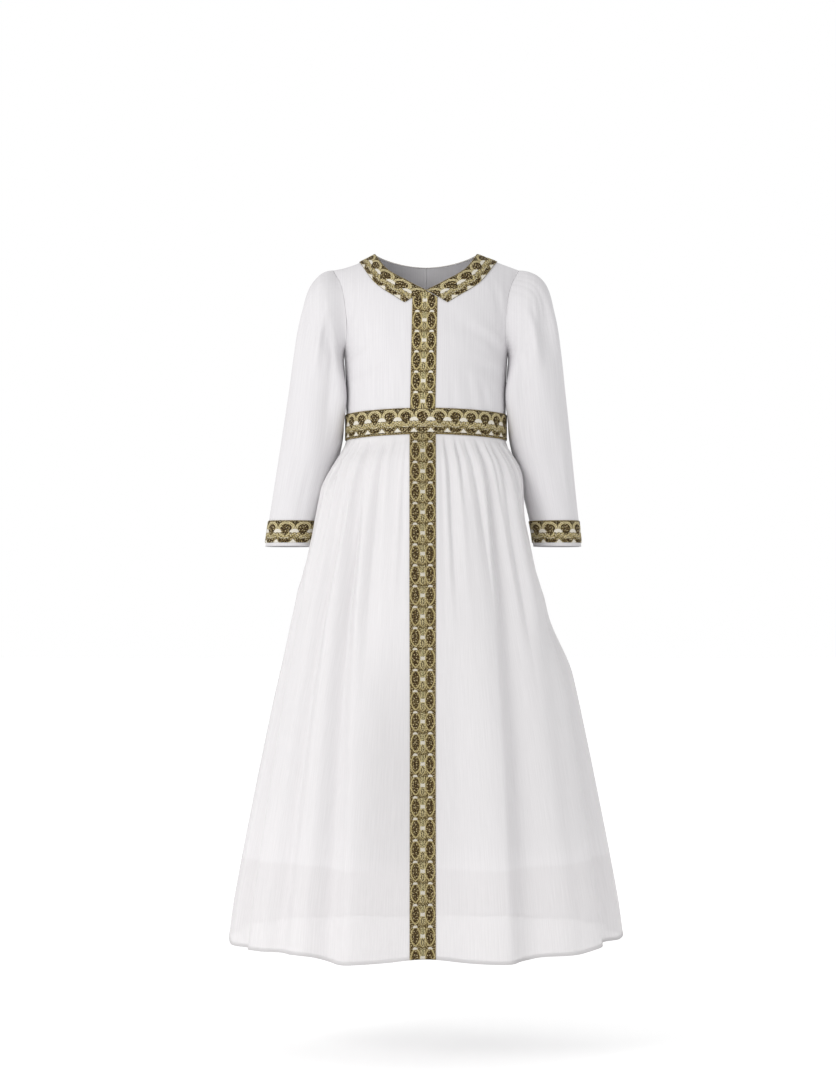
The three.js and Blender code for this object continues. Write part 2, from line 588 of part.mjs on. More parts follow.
// ---------------------------------------------------------------- ribbon trims
// A ribbon that lies on the torso, through front-view points [face, x, z] in rows.
function torsoRibbon(name, rows) {
  return clothWall(name, rows.map((row) => {
    const points = row.map(([face, x, z]) => torsoPoint(face, x, z));
    const normals = points.map(torsoNormal);
    const at = points.map((_, i) => i);
    return rowFrom(at, (i) => points[i].clone(), (i) => normals[i], RIBBON, RIBBON_LIFT);
  }), COLOURS.ribbon);
}

const placketCentre = (z) => {
  const share = clamp(z / WAISTBAND.top, 0, 1);
  return mix(PLACKET.neckCentre, PLACKET.waistCentre, share);
};

// The two collar ends form a point, and the top of the ribbon fits under it.
const collarEnd = (x) => (
  mix(NECKLINE[0].height, COLLAR_EDGE[0].height, Math.abs(x) / COLLAR_EDGE[0].half)
);

function upperPlacket() {
  const across = evenly(4, -PLACKET.width / 2, PLACKET.width / 2);
  const rows = evenly(8, 0, 1).map((up) => across.map((offset) => {
    const low = WAISTBAND.top + SEAM_GAP;
    const high = collarEnd(offset) - 3 * SEAM_GAP;
    const z = mix(low, high, up);
    return [-1, placketCentre(z) + offset, z];
  }));
  return torsoRibbon('placket_upper', rows);
}

function lowerPlacket() {
  const offsets = evenly(4, -PLACKET.skirtWidth / 2, PLACKET.skirtWidth / 2);
  const levels = [WAISTBAND.bottom - 2 * SEAM_GAP, ...SKIRT_TOP_ROWS.slice(2), ...SKIRT_LOW_ROWS];
  const rows = levels.map((level) => {
    const half = lookup(SKIRT, 'level', 'half', level);
    const angleOf = (offset) => THREE.MathUtils.radToDeg(Math.asin((PLACKET.waistCentre + offset) / half));
    return rowFrom(
      offsets,
      (offset) => skirtPoint(angleOf(offset), level),
      (offset) => skirtNormal(angleOf(offset), level),
      RIBBON,
      RIBBON_LIFT,
    );
  });
  return clothWall('placket_lower', rows.reverse(), COLOURS.ribbon);
}

// The waistband covers the waist seam. It runs from one angle round the waist to another.
function waistband(name, from, to) {
  const rows = [WAISTBAND.bottom, WAIST_SEAM, WAISTBAND.top].map((level) => {
    const half = lookup(TORSO, 'level', 'half', level);
    return evenly(Math.round((to - from) / 7), from, to).map((angle) => {
      const x = half * Math.sin(radians(angle));
      return [Math.abs(angle) <= 90 ? -1 : 1, x, level - waistDrop(x)];
    });
  });
  return torsoRibbon(name, rows);
}

// A collar half lies round the neckline from the front point over the shoulder to the back.
function collar(name, side) {
  const edge = COLLAR_EDGE[COLLAR_EDGE.length - 1];
  const shoulderX = edge.half + side * COLLAR.lean;
  const shoulderZ = shoulderLine(side * shoulderX);
  const back = { inner: NECK.height - NECK.backDip, outer: NECK.height - NECK.backDip - COLLAR.backDrop };
  const gap = SEAM_GAP / 2;
  const stations = [];
  for (const t of evenly(8, 0, 1).map((step) => 1 - (1 - step) ** 2)) {
    const x = mix(gap, NECK.half, t);
    const outer = (column) => lookup(COLLAR_EDGE, 'share', column, t);
    stations.push({
      face: -1,
      inner: [x, neckline(-1, x)],
      outer: [
        outer('half') + (shoulderX - edge.half) * t * t,
        outer('height') + (shoulderZ - edge.height) * t * t,
      ],
    });
  }
  for (const t of evenly(8, 0, 1).slice(1)) {
    const turn = radians(90 * t);
    const fall = Math.sin(turn) ** 2;
    stations.push({
      face: 1,
      inner: [mix(gap, NECK.half, Math.cos(turn)), mix(NECK.height, back.inner, fall)],
      outer: [mix(gap, shoulderX, Math.cos(turn)), mix(shoulderZ, back.outer, fall)],
    });
  }
  const rows = [1, 0.5, 0].map((down) => stations.map(({ face, inner, outer }) => [
    face, side * mix(inner[0], outer[0], down), mix(inner[1], outer[1], down),
  ]));
  return torsoRibbon(name, side > 0 ? rows : rows.map((row) => row.reverse()));
}

// ---------------------------------------------------------------- the dress
const BACK_SEAM = 0.2;        // degrees that the waistband keeps open at the middle of the back
const dress = new THREE.Group();
dress.add(
  bodicePanel('bodice_front', -1, -1, 1),
  bodicePanel('bodice_back_left', 1, 0, 1),
  bodicePanel('bodice_back_right', 1, -1, 0),
  sleeve('sleeve_left', 1),
  sleeve('sleeve_right', -1),
  cuffRibbon('cuff_trim_left', 1),
  cuffRibbon('cuff_trim_right', -1),
  collar('collar_left', 1),
  collar('collar_right', -1),
  upperPlacket(),
  waistband('waistband_front', -89.9, 89.9),
  waistband('waistband_back_left', 90.1, 180 - BACK_SEAM / 2),
  waistband('waistband_back_right', -180 + BACK_SEAM / 2, -90.1),
  lowerPlacket(),
  skirtPanel('skirt_front', -90, 90),
  skirtPanel('skirt_back', 90, 270),
  liningPanel('lining_front', -90, 90),
  liningPanel('lining_back', 90, 270),
);

export default dress;
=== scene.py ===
"""A child's long white kaftan dress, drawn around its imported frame.

Sizes are in millimetres and angles in degrees until a mesh is made. Left and right are the
wearer's, +X is left, -Y is the front, and +Z is up, with the origin between the shoulders.
"""
import math
from functools import partial, partialmethod
from types import SimpleNamespace as Sizes

import bpy
import numpy as np
from numpy import clip, concatenate, cos, linspace, radians, sin, where
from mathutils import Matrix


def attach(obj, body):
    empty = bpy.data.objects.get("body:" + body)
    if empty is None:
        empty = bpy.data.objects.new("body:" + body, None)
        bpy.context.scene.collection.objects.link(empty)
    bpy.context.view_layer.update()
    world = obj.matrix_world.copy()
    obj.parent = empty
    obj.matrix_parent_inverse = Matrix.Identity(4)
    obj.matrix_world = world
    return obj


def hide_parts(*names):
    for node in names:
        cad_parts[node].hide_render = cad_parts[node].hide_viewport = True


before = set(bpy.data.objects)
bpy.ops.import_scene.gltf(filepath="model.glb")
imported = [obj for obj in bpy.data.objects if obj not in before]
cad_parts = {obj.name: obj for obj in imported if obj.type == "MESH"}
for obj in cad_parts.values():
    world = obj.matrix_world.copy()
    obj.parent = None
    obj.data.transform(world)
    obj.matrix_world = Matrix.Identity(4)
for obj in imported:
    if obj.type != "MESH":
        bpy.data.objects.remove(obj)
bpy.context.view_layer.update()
SCENE = bpy.context.scene
MM = 0.001

# ---- sizes
# Thicknesses, and how far a ribbon lies off the cloth under it.
CLOTH = 0.9
CHIFFON = 0.5
LINING_CLOTH = 0.6
RIBBON = 1.1
RIBBON_LIFT = 0.25
# A ribbon's thin edge: its share of the thickness, and of the half width where it starts.
SELVAGE = Sizes(thin=0.55, start=0.86)
PANEL_GAP = 0.05
SEAM_ANGLE = 0.02
NECK = Sizes(half=65, height=9, back_dip=11)
SHOULDER = Sizes(half=119, height=-11, round=45, right_sag=3)
ARMPIT = -120
WAIST_SEAM = -208
WAIST_SIDE_DROP = 4
HEM = -868
# The waistband lies over the ends of both plackets.
WAISTBAND = Sizes(top=-192, bottom=-225, height=1.35, pattern_shift=5)
PLACKET = Sizes(
    width=31.5, skirt_width=32.7, neck_centre=-0.3, waist_centre=-4.1, tuck=3, collar_gap=0.3, hem_gap=0.5,
)
COLLAR = Sizes(
    lean=3, back_drop=31, front_gap=0.1, back_gap=0.05, height=1.15, pattern_width=30.5,
    pattern_stretch=25.2 / 20.9,
)
CUFF = Sizes(start=0.915, end=0.988, pattern_length=201.6, pattern_width=29.5)
OVAL_PITCH = 25.4             # of the ovals above the waistband, and of the pattern itself
LOWER_PITCH = 25.79           # the ribbon on the skirt is a little larger
UPPER_OVAL = -56.6            # height of one oval's middle above the waistband
LOWER_OVAL = -246.8           # and of one below it
ACROSS = 33                   # points across a ribbon


def smooth_value(key, value, place):
    """A smooth value of one column at a place along the table's first column, its key."""
    place = clip(np.asarray(place, float), key[0], key[-1])
    after, before = np.r_[1:len(key), len(key) - 1], np.r_[0, 0:len(key) - 1]
    slope = (value[after] - value[before]) / (key[after] - key[before])
    i = clip(np.searchsorted(key, place, side="right") - 1, 0, len(key) - 2)
    step = key[i + 1] - key[i]
    t = (place - key[i]) / step
    return ((2 * t**3 - 3 * t**2 + 1) * value[i] + (t**3 - 2 * t**2 + t) * step * slope[i]
            + (3 * t**2 - 2 * t**3) * value[i + 1] + (t**3 - t**2) * step * slope[i + 1])


def table(columns, *rows):
    """A smooth function of the first column for each of the others, under its name."""
    key, *values = (np.array(column, float) for column in zip(*sorted(rows)))
    return Sizes(**{name: partial(smooth_value, key, value)
                    for name, value in zip(columns.split()[1:], values)})


NECKLINE = table(
    "half height",
    (0, -43), (13.5, -36.2), (26.5, -28.9), (39, -21.8), (50, -13.5), (57.5, -4), (65, 9),
)
COLLAR_EDGE = table(
    "share half height",
    (0, 27, -59), (0.25, 41.5, -49.5), (0.5, 55, -40.5), (0.75, 70, -27), (1, 88, 0.5),
)
TORSO_END = -235
TORSO = table(
    "level half front back",
    (12, 122, 45, 46), (-11, 122, 52, 52), (-33, 121, 61, 62), (-60, 117, 71, 72),
    (-97, 109, 79, 78), (ARMPIT, 104.7, 80, 78), (-150, 103, 80, 77), (-192, 102, 78, 74),
    (TORSO_END, 102, 78, 74),
)
ARMHOLE = table(
    "level half",
    (SHOULDER.height, SHOULDER.half), (-33, 108), (-65, 102), (-97, 100.5), (ARMPIT, 104.7),
)
SLEEVE = table(
    "along inner_x inner_z outer_x outer_z depth mid",
    (0, 105, -120.6, 119.6, -10.8, 32, 0), (0.05, 104.9, -128, 133, -13.5, 41, 0),
    (0.12, 104.2, -135, 150, -32, 45, 1), (0.22, 103.6, -146, 160, -66, 46, 2),
    (0.34, 103.2, -163, 168, -110, 44.5, 3), (0.48, 104.7, -192, 175, -165, 42, 5),
    (0.63, 107.2, -231, 183, -222, 39.5, 8), (0.8, 122, -288, 192, -285, 36, 11),
    (0.93, 134, -337, 199.5, -337, 33.5, 13), (1, 138, -364, 203, -364, 33, 14),
)
# How far out each sleeve's outer side lies from the table, left (1) and right (-1).
SLEEVE_SWAY = {1: Sizes(head=6, middle=2, cuff=-3.5), -1: Sizes(head=-2, middle=0, cuff=3.5)}
SLEEVE_SWAY_FULL = 0.1
SLEEVE_FLAT = Sizes(girth=262, length=360)
SLEEVE_COLUMNS = 160
ARMHOLE_SEAM = Sizes(gap=0.25, under=0.6, over=0.3, blend=0.07)

# Folds of a sleeve: angle round it (0 outside, 90 front), half width, depth (a ridge is
# negative), and the stretch of the sleeve that it crosses.
SLEEVE_FOLDS = (
    (58, 26, 5.5, 0.02, 0.42), (28, 20, -3.5, 0.04, 0.5), (104, 22, 3, 0.05, 0.3),
    (82, 18, -2.5, 0.1, 0.45), (-40, 24, 4.5, 0.03, 0.4), (-85, 22, 3, 0.06, 0.35),
    (70, 30, 2.5, 0.5, 0.88), (142, 31, -12, 0.04, 0.76), (-130, 28, 2.5, 0.4, 0.85),
    (44, 9, 1.1, 0.03, 0.3), (74, 8, 1, 0.02, 0.26), (92, 9, 0.9, 0.05, 0.34),
    (12, 9, 1, 0.03, 0.24), (118, 12, 0.9, 0.14, 0.42), (38, 11, 0.8, 0.6, 0.96),
    (98, 13, 0.9, 0.64, 0.97), (-20, 10, 1, 0.03, 0.3), (-64, 10, 1, 0.03, 0.32),
    (-100, 12, 0.9, 0.6, 0.95), (-55, 14, 0.9, 0.55, 0.9),
)
# Pleats that fan out from the armhole seam: angle at the seam and where the pleat ends, half
# width in degrees, depth, and where it ends.
SLEEVE_PLEATS = (
    (22, 12, 6, 0.4, 0.16), (31, 34, 6, 0.6, 0.22), (40, 58, 7, 0.9, 0.32), (49, 82, 8, 1.1, 0.42),
    (59, 104, 8, 0.6, 0.3), (-30, -26, 6, 0.5, 0.18), (-42, -54, 7, 0.9, 0.3),
    (-54, -80, 8, 0.8, 0.36), (-68, -100, 8, 0.5, 0.26),
)
SLEEVE_PLEAT_FULL = 0.02
SLEEVE_HEAD_END = 0.22        # below it the cloth's threads follow the arm

SKIRT = table(
    "level half front back",
    (WAIST_SEAM, 102, 78, 74), (-226, 102.2, 78.3, 74.3), (-240, 111, 87, 83),
    (-257, 122, 96, 93), (-280, 130, 101, 99), (-310, 137, 106, 105), (-374, 151.5, 118, 118),
    (-435, 167, 129, 129), (-504, 182, 140, 140), (-561, 195, 149, 149), (-689, 221, 167, 167),
    (-817, 245, 182, 182), (HEM, 252, 186, 186),
)
HEM_GIRTH = 1720
ROLLED_HEM = Sizes(thicker=0.7, height=7, blend=2)
SKIRT_PANELS = (("front", -90, 90), ("back", 90, 270))
SKIRT_GATHERED_END = -300     # the mesh is finer above it
HEM_DROP = table(
    "angle drop",
    (180, -12), (140, -14), (112, -14), (95, -11), (80, -7), (66, -5), (56, 0), (49, 4), (36, 5.5),
    (30, 9), (23, 11), (13, 9), (0, 3.5), (-13, 9), (-21, 11.5), (-28, 12), (-36, 3.5), (-46, 2.5),
    (-60, 2), (-72, 3), (-81, 0), (-96, -12), (-112, -14), (-140, -14), (-180, -12),
)
# Folds of the skirt: angle at the waist and at the hem, half width in degrees at the hem,
# depth (a ridge is negative), the levels where it starts and ends, and how many times wider
# its left side is.
NO_END = -1200
SKIRT_FOLDS = (
    (-15, -12, 6, 4, -228, -360, 1), (-29, -20, 8, 7, -228, -560, 1), (-44, -30, 8.5, 17, -235, NO_END, 1),
    (-57, -48, 8, 12, -240, NO_END, 1), (-84, -70, 9, 15, -330, NO_END, 1), (20, 16, 6, 4, -228, -330, 1),
    (34, 22, 6.5, 6, -228, -420, 1), (41, 31, 7, 16, -232, NO_END, 2.6), (53, 47, 7.5, 7, -232, -520, 1),
    (82, 67, 8.5, 10, -330, NO_END, 1), (74, 58, 9, -3, -300, NO_END, 1), (108, 96, 9.5, 17, -300, NO_END, 1),
    (122, 118, 9, 14, -240, NO_END, 1), (140, 141, 10, 18, -236, NO_END, 1.4),
    (158, 163, 8.5, 13, -240, NO_END, 1), (-106, -97, 9, 15, -310, NO_END, 1),
    (-124, -122, 10.5, 18, -240, NO_END, 1.3), (-144, -147, 9, 13, -236, NO_END, 1),
    (-163, -169, 9.5, 17, -240, NO_END, 1),
)
# How fast folds swing to their place at the hem, their shares at the waist, and lengths.
FOLD = Sizes(swing=1.6, waist_width=0.75, waist_depth=0.5, growth=200, fade=120)
# Sharp pleats that the waist seam gathers up: angle at the waist, 170 mm below it and at the
# hem, half width in degrees, depth, and the level where each has opened out.
SKIRT_PLEATS = (
    (-13, -11, -9, 4, 1.8, -420), (-21, -21, -21, 3, 2.6, -285), (-28, -27, -20, 4.5, 4.2, -600),
    (-34, -32.5, -31, 3, 2.2, -350), (-39, -38, -36, 3, 2.6, -305), (-42.5, -37.5, -29, 5, 5.4, NO_END),
    (-47, -43, -40, 3, 2.6, -320), (-51, -48, -45, 3, 2, -300), (-56, -52, -46, 5.5, 5.2, -860),
    (-64, -70, -75, 4, 4.8, -350), (-73, -80, -80, 5, 3.6, -440), (13, 13, 12, 3.5, 3, -470),
    (16.5, 17, 17, 2.4, 1.6, -270), (20.5, 21, 21, 4, 4.8, -335), (24.5, 25, 25, 2.6, 2, -290),
    (28, 31, 27, 5, 4.8, -640), (33, 34, 34, 3, 2.4, -305), (38, 37, 28, 5, 5.6, NO_END),
    (45, 45, 44, 3, 3, -350), (52, 49, 44, 5, 4.8, -620), (58, 60, 60, 3, 2.4, -335),
    (65, 69, 72, 4.5, 4.8, -360), (75, 80, 80, 4, 3.2, -430), (86, 87, 84, 5, 3, -520),
    (97, 97, 96, 4.5, 4, -410), (108, 107, 102, 5, 4.6, -640), (119, 119, 119, 4, 3, -350),
    (128, 128, 129, 5, 5, -820), (137, 138, 139, 4, 3, -370), (149, 150, 152, 5, 4.6, -720),
    (158, 158, 158, 3.5, 3.2, -340), (167, 168, 170, 5, 5.2, NO_END), (177, 177, 178, 4, 3.6, -430),
    (-162, -163, -166, 5, 5, -680), (-152, -152, -152, 4, 3, -360), (-141, -142, -144, 5, 4.8, NO_END),
    (-131, -131, -130, 4, 3.2, -390), (-120, -120, -119, 5, 4.6, -760), (-109, -108, -106, 4, 3.4, -410),
    (-98, -96, -92, 5, 4.4, -580), (-86, -84, -80, 4.5, 3.2, -470), (-172, -172, -173, 4, 3, -320),
)
PLEAT = Sizes(middle=0.26, start=-226, growth=18, opens=-300, opening=260, opened=0.75, fade=90)
# Where the sleeves and a hand press the skirt in: angle, half width, depth, and the levels
# where it starts, is full, starts to fade, and ends. The cloth bulges a little in front of them.
SKIRT_PRESSES = (
    (106, 27, 12, -226, -262, -372, -430), (-107, 28, 24, -228, -264, -374, -425),
    (84, 34, 13.5, -264, -335, -450, -530), (64, 18, -4, -250, -320, -420, -520),
    (-76, 15, -6.5, -250, -290, -385, -450), (-1, 26, 9, -400, -620, NO_END, 2 * NO_END),
)
GATHER_COUNT = 44
GATHER_SHIFTS = ((0.5, 3, 1), (0.3, 7, 0), (0.15, 13, 2))    # size, count round the waist, start
GATHERS = table(
    "level depth",
    (WAIST_SEAM, 0), (-226, 0.1), (-236, 1.7), (-258, 2.5), (-300, 2.5), (-370, 1.5), (-440, 0.6),
    (-520, 0), (HEM, 0),
)
FLAT_UNDER_BAND = Sizes(half=17, blend=12)    # the skirt has no gathers under the ribbon

LINING = table(
    "level half front back shift",
    (WAIST_SEAM, 99.6, 75.6, 71.6, 0), (-226, 99.6, 75.6, 71.6, 0), (-250, 101, 77.5, 73.5, 0),
    (-310, 115, 88, 86, 0), (-435, 136, 106, 106, 2), (-560, 160, 125, 125, 6),
    (-757, 191, 150, 150, 13),
)
LINING_HEM = Sizes(front=-757, side=12)
LINING_FLAT = Sizes(girth=1150, length=560)
LINING_GAP = 0.35
# Folds of the lining: angle, half width in degrees, depth.
LINING_FOLDS = (
    (12, 12, -5), (33, 9, 8), (54, 9, 9), (80, 12, 6), (118, 14, 8), (152, 13, 7), (-30, 10, 6),
    (-58, 11, 8), (-92, 13, 6), (-128, 14, 8), (-162, 12, 6),
)
BODICE_EASE = 1.15
NECK_SHARE = 5 / 11           # of the half shoulder line, as columns are counted
CREASE = Sizes(bend=0.004, spread=1.6, bank=0.5, bank_place=1.5, side_fade=0.12)
# Soft creases of the bodice: face (-1 front), x, z, lean in degrees from upright, half length,
# half width, depth.
BODICE_CREASES = (
    (-1, -84, -112, 52, 34, 7, 1.6), (-1, -76, -140, 66, 30, 8, 1.2), (-1, 85, -110, -50, 36, 7, 1.7),
    (-1, 77, -142, -66, 30, 8, 1.2), (-1, -52, -176, 8, 26, 6, 0.8), (-1, -70, -178, 14, 24, 5, 0.9),
    (-1, 56, -174, -8, 28, 6, 0.8), (-1, 74, -178, -14, 22, 5, 0.9), (-1, 34, -176, -3, 24, 5, 0.6),
    (-1, -32, -178, 4, 22, 5, 0.6), (-1, -92, -60, 10, 30, 5, 0.9), (-1, 92, -58, -10, 30, 5, 0.9),
    (-1, -48, -96, 38, 40, 12, 0.9), (-1, 50, -92, -38, 40, 12, 0.9),
    (1, -82, -114, -48, 36, 8, 1.5), (1, 82, -112, 48, 36, 8, 1.6), (1, -44, -172, 6, 28, 7, 1.1),
    (1, 46, -170, -7, 28, 7, 1.1), (1, -68, -176, 12, 24, 6, 0.9), (1, 70, -174, -12, 24, 6, 0.9),
    (1, -24, -60, -70, 26, 8, 0.7), (1, 28, -66, 68, 28, 8, 0.8),
)


# ---- small tools
def mix(a, b, t):
    return a + (b - a) * t


def smooth(x):
    t = clip(x, 0, 1)
    return t * t * (3 - 2 * t)


def turn_between(a, b):
    return (a - b + 180) % 360 - 180


def bump(offset, half):
    """1 at zero and 0 from half on, round at both."""
    return where(abs(offset) < half, (1 + cos(np.pi * offset / half)) / 2, 0.0)


def sharp(offset, half):
    """1 at zero, where it has a sharp peak, and 0 from half on."""
    return clip(1 - abs(offset) / half, 0, 1) ** 1.5


def vectors(x, y, z):
    return np.stack(np.broadcast_arrays(x, y, z), axis=-1)


def unit(v):
    return v / np.maximum(np.linalg.norm(v, axis=-1, keepdims=True), 1e-9)


def flat_place(u, v):
    """Places on the flat cloth in mm, which a mesh carries as its UV map."""
    return np.stack(np.broadcast_arrays(u, v), axis=-1)


def arc_length(points):
    """How far along a line of points each one lies."""
    return concatenate([[0], np.cumsum(np.linalg.norm(np.diff(points, axis=0), axis=1))])


def two_spacings(start, middle, end, first, second):
    """Numbers from the end back to the start, with one spacing on each side of the middle."""
    upper = linspace(start, middle, first, endpoint=False)
    return concatenate([upper, linspace(middle, end, second)])[::-1]


def panel_angles(start, end, count):
    """Angles across a panel, which stops just short of its seams."""
    return linspace(start + SEAM_ANGLE, end - SEAM_ANGLE, count)


def grid_normals(grid, ring):
    """Outward normals of rows that run upwards and columns that run to the left in front."""
    if ring:
        along = np.roll(grid, -1, axis=1) - np.roll(grid, 1, axis=1)
    else:
        along = np.gradient(grid, axis=1)
    return unit(np.cross(along, np.gradient(grid, axis=0)))


# ---- meshes
def add_object(name, data):
    thing = bpy.data.objects.new(name, data)
    SCENE.collection.objects.link(thing)
    return thing


def wall_quads(rows, columns, ring):
    """Faces of a closed wall, whose outer points come first and then its inner ones."""
    wall = rows * columns
    spans = np.arange(columns if ring else columns - 1)
    r, c = (place.ravel() for place in np.meshgrid(np.arange(rows - 1), spans, indexing="ij"))
    beside = (c + 1) % columns
    low, high = r * columns, (r + 1) * columns
    outer = np.stack([low + c, low + beside, high + beside, high + c], axis=1)
    faces = [outer, outer[:, ::-1] + wall]

    def rim(start, end):
        faces.append(np.stack([start, start + wall, end + wall, end], axis=1))

    top = (rows - 1) * columns
    rim((spans + 1) % columns, spans)
    rim(top + spans, top + (spans + 1) % columns)
    if not ring:
        up = np.arange(rows - 1) * columns
        rim(up, up + columns)
        rim(up + 2 * columns - 1, up + columns - 1)
    return concatenate(faces).astype(np.int32)


def corner_places(uv, quads, ring):
    """The flat place of each face's corners. A ring goes on past its last column, not back."""
    flat = concatenate([uv.reshape(-1, 2)] * 2)[quads.ravel()]
    if ring:
        columns = uv.shape[1]
        column = quads % columns
        closing = (column.max(axis=1) == columns - 1) & (column.min(axis=1) == 0)
        period = uv[0, -1] - uv[0, 0] + (uv[0, 1] - uv[0, 0])
        flat[(closing[:, None] & (column == 0)).ravel()] += period
    return flat


def shell(name, grid, uv, thickness, material, ring=False):
    """A closed wall of cloth. grid is its outer face in rows, and uv its flat place in mm.
    thickness is one number, or one for each row. A ring joins its last column to its first."""
    inner = grid - grid_normals(grid, ring) * np.reshape(thickness, (-1, 1, 1))
    points = concatenate([grid.reshape(-1, 3), inner.reshape(-1, 3)]) * MM
    quads = wall_quads(*grid.shape[:2], ring)
    mesh = bpy.data.meshes.new(name)
    mesh.from_pydata(points, [], quads)
    mesh.shade_smooth()
    layer = mesh.uv_layers.new(name="cloth")
    layer.data.foreach_set("uv", corner_places(uv, quads, ring).ravel())
    mesh.validate()
    mesh.materials.append(material)
    piece = add_object(name, mesh)
    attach(piece, "root")
    return piece


# ---- torso and bodice
def shoulder_line(x):
    share = (abs(x) - NECK.half) / (SHOULDER.half - NECK.half)
    inside = clip(share, 0, 1)
    sag = where(np.asarray(x) < 0, SHOULDER.right_sag, 0) * 4 * inside * (1 - inside)
    return mix(NECK.height, SHOULDER.height, share) - sag


def shoulder_round(x, z):
    below = np.minimum((shoulder_line(x) - z) / SHOULDER.round, 1)
    return 1 - (1 - below) ** 2


def torso_depth(face, z):
    return where(face < 0, TORSO.front(z), TORSO.back(z))


def torso(face, x, z):
    """Points of the torso. face is -1 in front and 1 behind, one number or an array."""
    across = np.sqrt(np.maximum(0, 1 - (x / TORSO.half(z)) ** 2))
    y = face * torso_depth(face, z) * across * np.sqrt(np.maximum(0, shoulder_round(x, z)))
    return vectors(x, y, z)


def torso_normals(points):
    def outside(points):
        x, y, z = np.moveaxis(points, -1, 0)
        across = 1 - (x / TORSO.half(z)) ** 2
        return (y / torso_depth(y, z)) ** 2 - across * shoulder_round(x, z)

    steps = 0.05 * np.eye(3)
    return unit(np.stack([outside(points + step) - outside(points - step) for step in steps], axis=-1))


def waist_drop(x):
    return WAIST_SIDE_DROP * (x / TORSO.half(TORSO_END)) ** 2


def bodice_creases(face, x, z):
    """How far creases pull the bodice in, with a low bank beside each. They fade at its sides."""
    pull = np.zeros(np.broadcast(x, z).shape)
    inside = smooth((1 - abs(x) / TORSO.half(z)) / CREASE.side_fade)
    for side, crease_x, crease_z, lean, length, width, depth in BODICE_CREASES:
        if side == face:
            turn = math.radians(lean)
            dx, dz = x - crease_x, z - crease_z
            along = dx * math.sin(turn) + dz * math.cos(turn)
            across = dx * math.cos(turn) - dz * math.sin(turn) + CREASE.bend * along**2
            aside = width * CREASE.bank_place
            bank = CREASE.bank * bump(across - aside, aside)
            valley = bump(across, width * CREASE.spread)
            pull += depth * bump(along, length * CREASE.spread) * (valley - bank)
    return pull * inside


def neckline(face, x):
    if face < 0:
        return NECKLINE.height(abs(x))
    return NECK.height - NECK.back_dip * (1 - (x / NECK.half) ** 2)


def bodice_surface(face, across, up):
    """across is 0 in the middle and 1 at the left side, up 0 at the waist and 1 at the top."""
    across, up = np.meshgrid(across, up)
    share, side = abs(across), where(across < 0, -1, 1)
    seam_half = TORSO.half(WAIST_SEAM)
    low_x = seam_half * sin(radians(90 * share))
    low_z = WAIST_SEAM - waist_drop(low_x)
    beyond = clip((share - NECK_SHARE) / (1 - NECK_SHARE), 0, 1)
    high_x = where(share < NECK_SHARE, NECK.half * share / NECK_SHARE,
                   mix(NECK.half, SHOULDER.half, beyond))
    high_z = where(share < NECK_SHARE, neckline(face, high_x), shoulder_line(side * high_x))
    edge_z = mix(WAIST_SEAM - WAIST_SIDE_DROP, SHOULDER.height, up)
    edge_x = where(edge_z < ARMPIT, TORSO.half(edge_z), ARMHOLE.half(edge_z))
    pull = edge_x - mix(seam_half, SHOULDER.half, up)
    x = mix(low_x, high_x, up) + pull * share**3
    z = mix(low_z, high_z, up)
    points = torso(face, side * x, z)
    return points - torso_normals(points) * bodice_creases(face, side * x, z)[..., None]


def bodice(material):
    panels = (("bodice_front", -1, -1, 1), ("bodice_back_left", 1, 0, 1), ("bodice_back_right", 1, -1, 0))
    half_columns, rows = 80, 90
    for node, face, start, end in panels:
        across = linspace(start, end, half_columns * (end - start) + 1)
        if face > 0:
            across = across[::-1]
        # The rows are closer together near the top.
        up = 1 - (1 - linspace(0, 1, rows)) ** 1.25
        grid = bodice_surface(face, across, up)
        grid[..., 1] += face * PANEL_GAP
        uv = flat_place(grid[..., 0] * BODICE_EASE, grid[..., 2])
        piece = shell("cloth_" + node, grid, uv, CLOTH, material)
        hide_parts(node)


# ---- sleeves
def sleeve_oval(side, angle, along):
    sway = SLEEVE_SWAY[side]
    out = mix(sway.head, sway.cuff, along) + sway.middle * bump(along - 0.5, 0.5)
    out = out * smooth(along / SLEEVE_SWAY_FULL)
    a = radians(angle)
    reach = (1 + cos(a)) / 2
    x = mix(SLEEVE.inner_x(along), SLEEVE.outer_x(along) + out, reach)
    y = SLEEVE.mid(along) - SLEEVE.depth(along) * sin(a)
    z = mix(SLEEVE.inner_z(along), SLEEVE.outer_z(along), reach)
    return vectors(side * x, y, z)


def thread_angle(angle, along, x):
    """Angle round the sleeve of the thread that runs through a point, upright in the head."""
    inner, outer = SLEEVE.inner_x(SLEEVE_HEAD_END), SLEEVE.outer_x(SLEEVE_HEAD_END)
    upright = np.degrees(np.arccos(clip((2 * abs(x) - inner - outer) / (outer - inner), -1, 1)))
    upright = where(sin(radians(angle)) >= 0, upright, -upright)
    return where(along < SLEEVE_HEAD_END, angle + turn_between(upright, angle), angle)


def armhole_seam(side, angle):
    """The edge of the bodice, where the sleeve is sewn on."""
    a = radians(angle)
    low, high = ARMPIT - ARMHOLE_SEAM.under, SHOULDER.height + ARMHOLE_SEAM.over
    z = mix(low, high, (1 + cos(a)) / 2)
    x = ARMHOLE.half(z)
    seam = torso(where(sin(a) >= 0, -1, 1), side * x, z)
    seam[..., 0] = side * (x + ARMHOLE_SEAM.gap)
    return seam


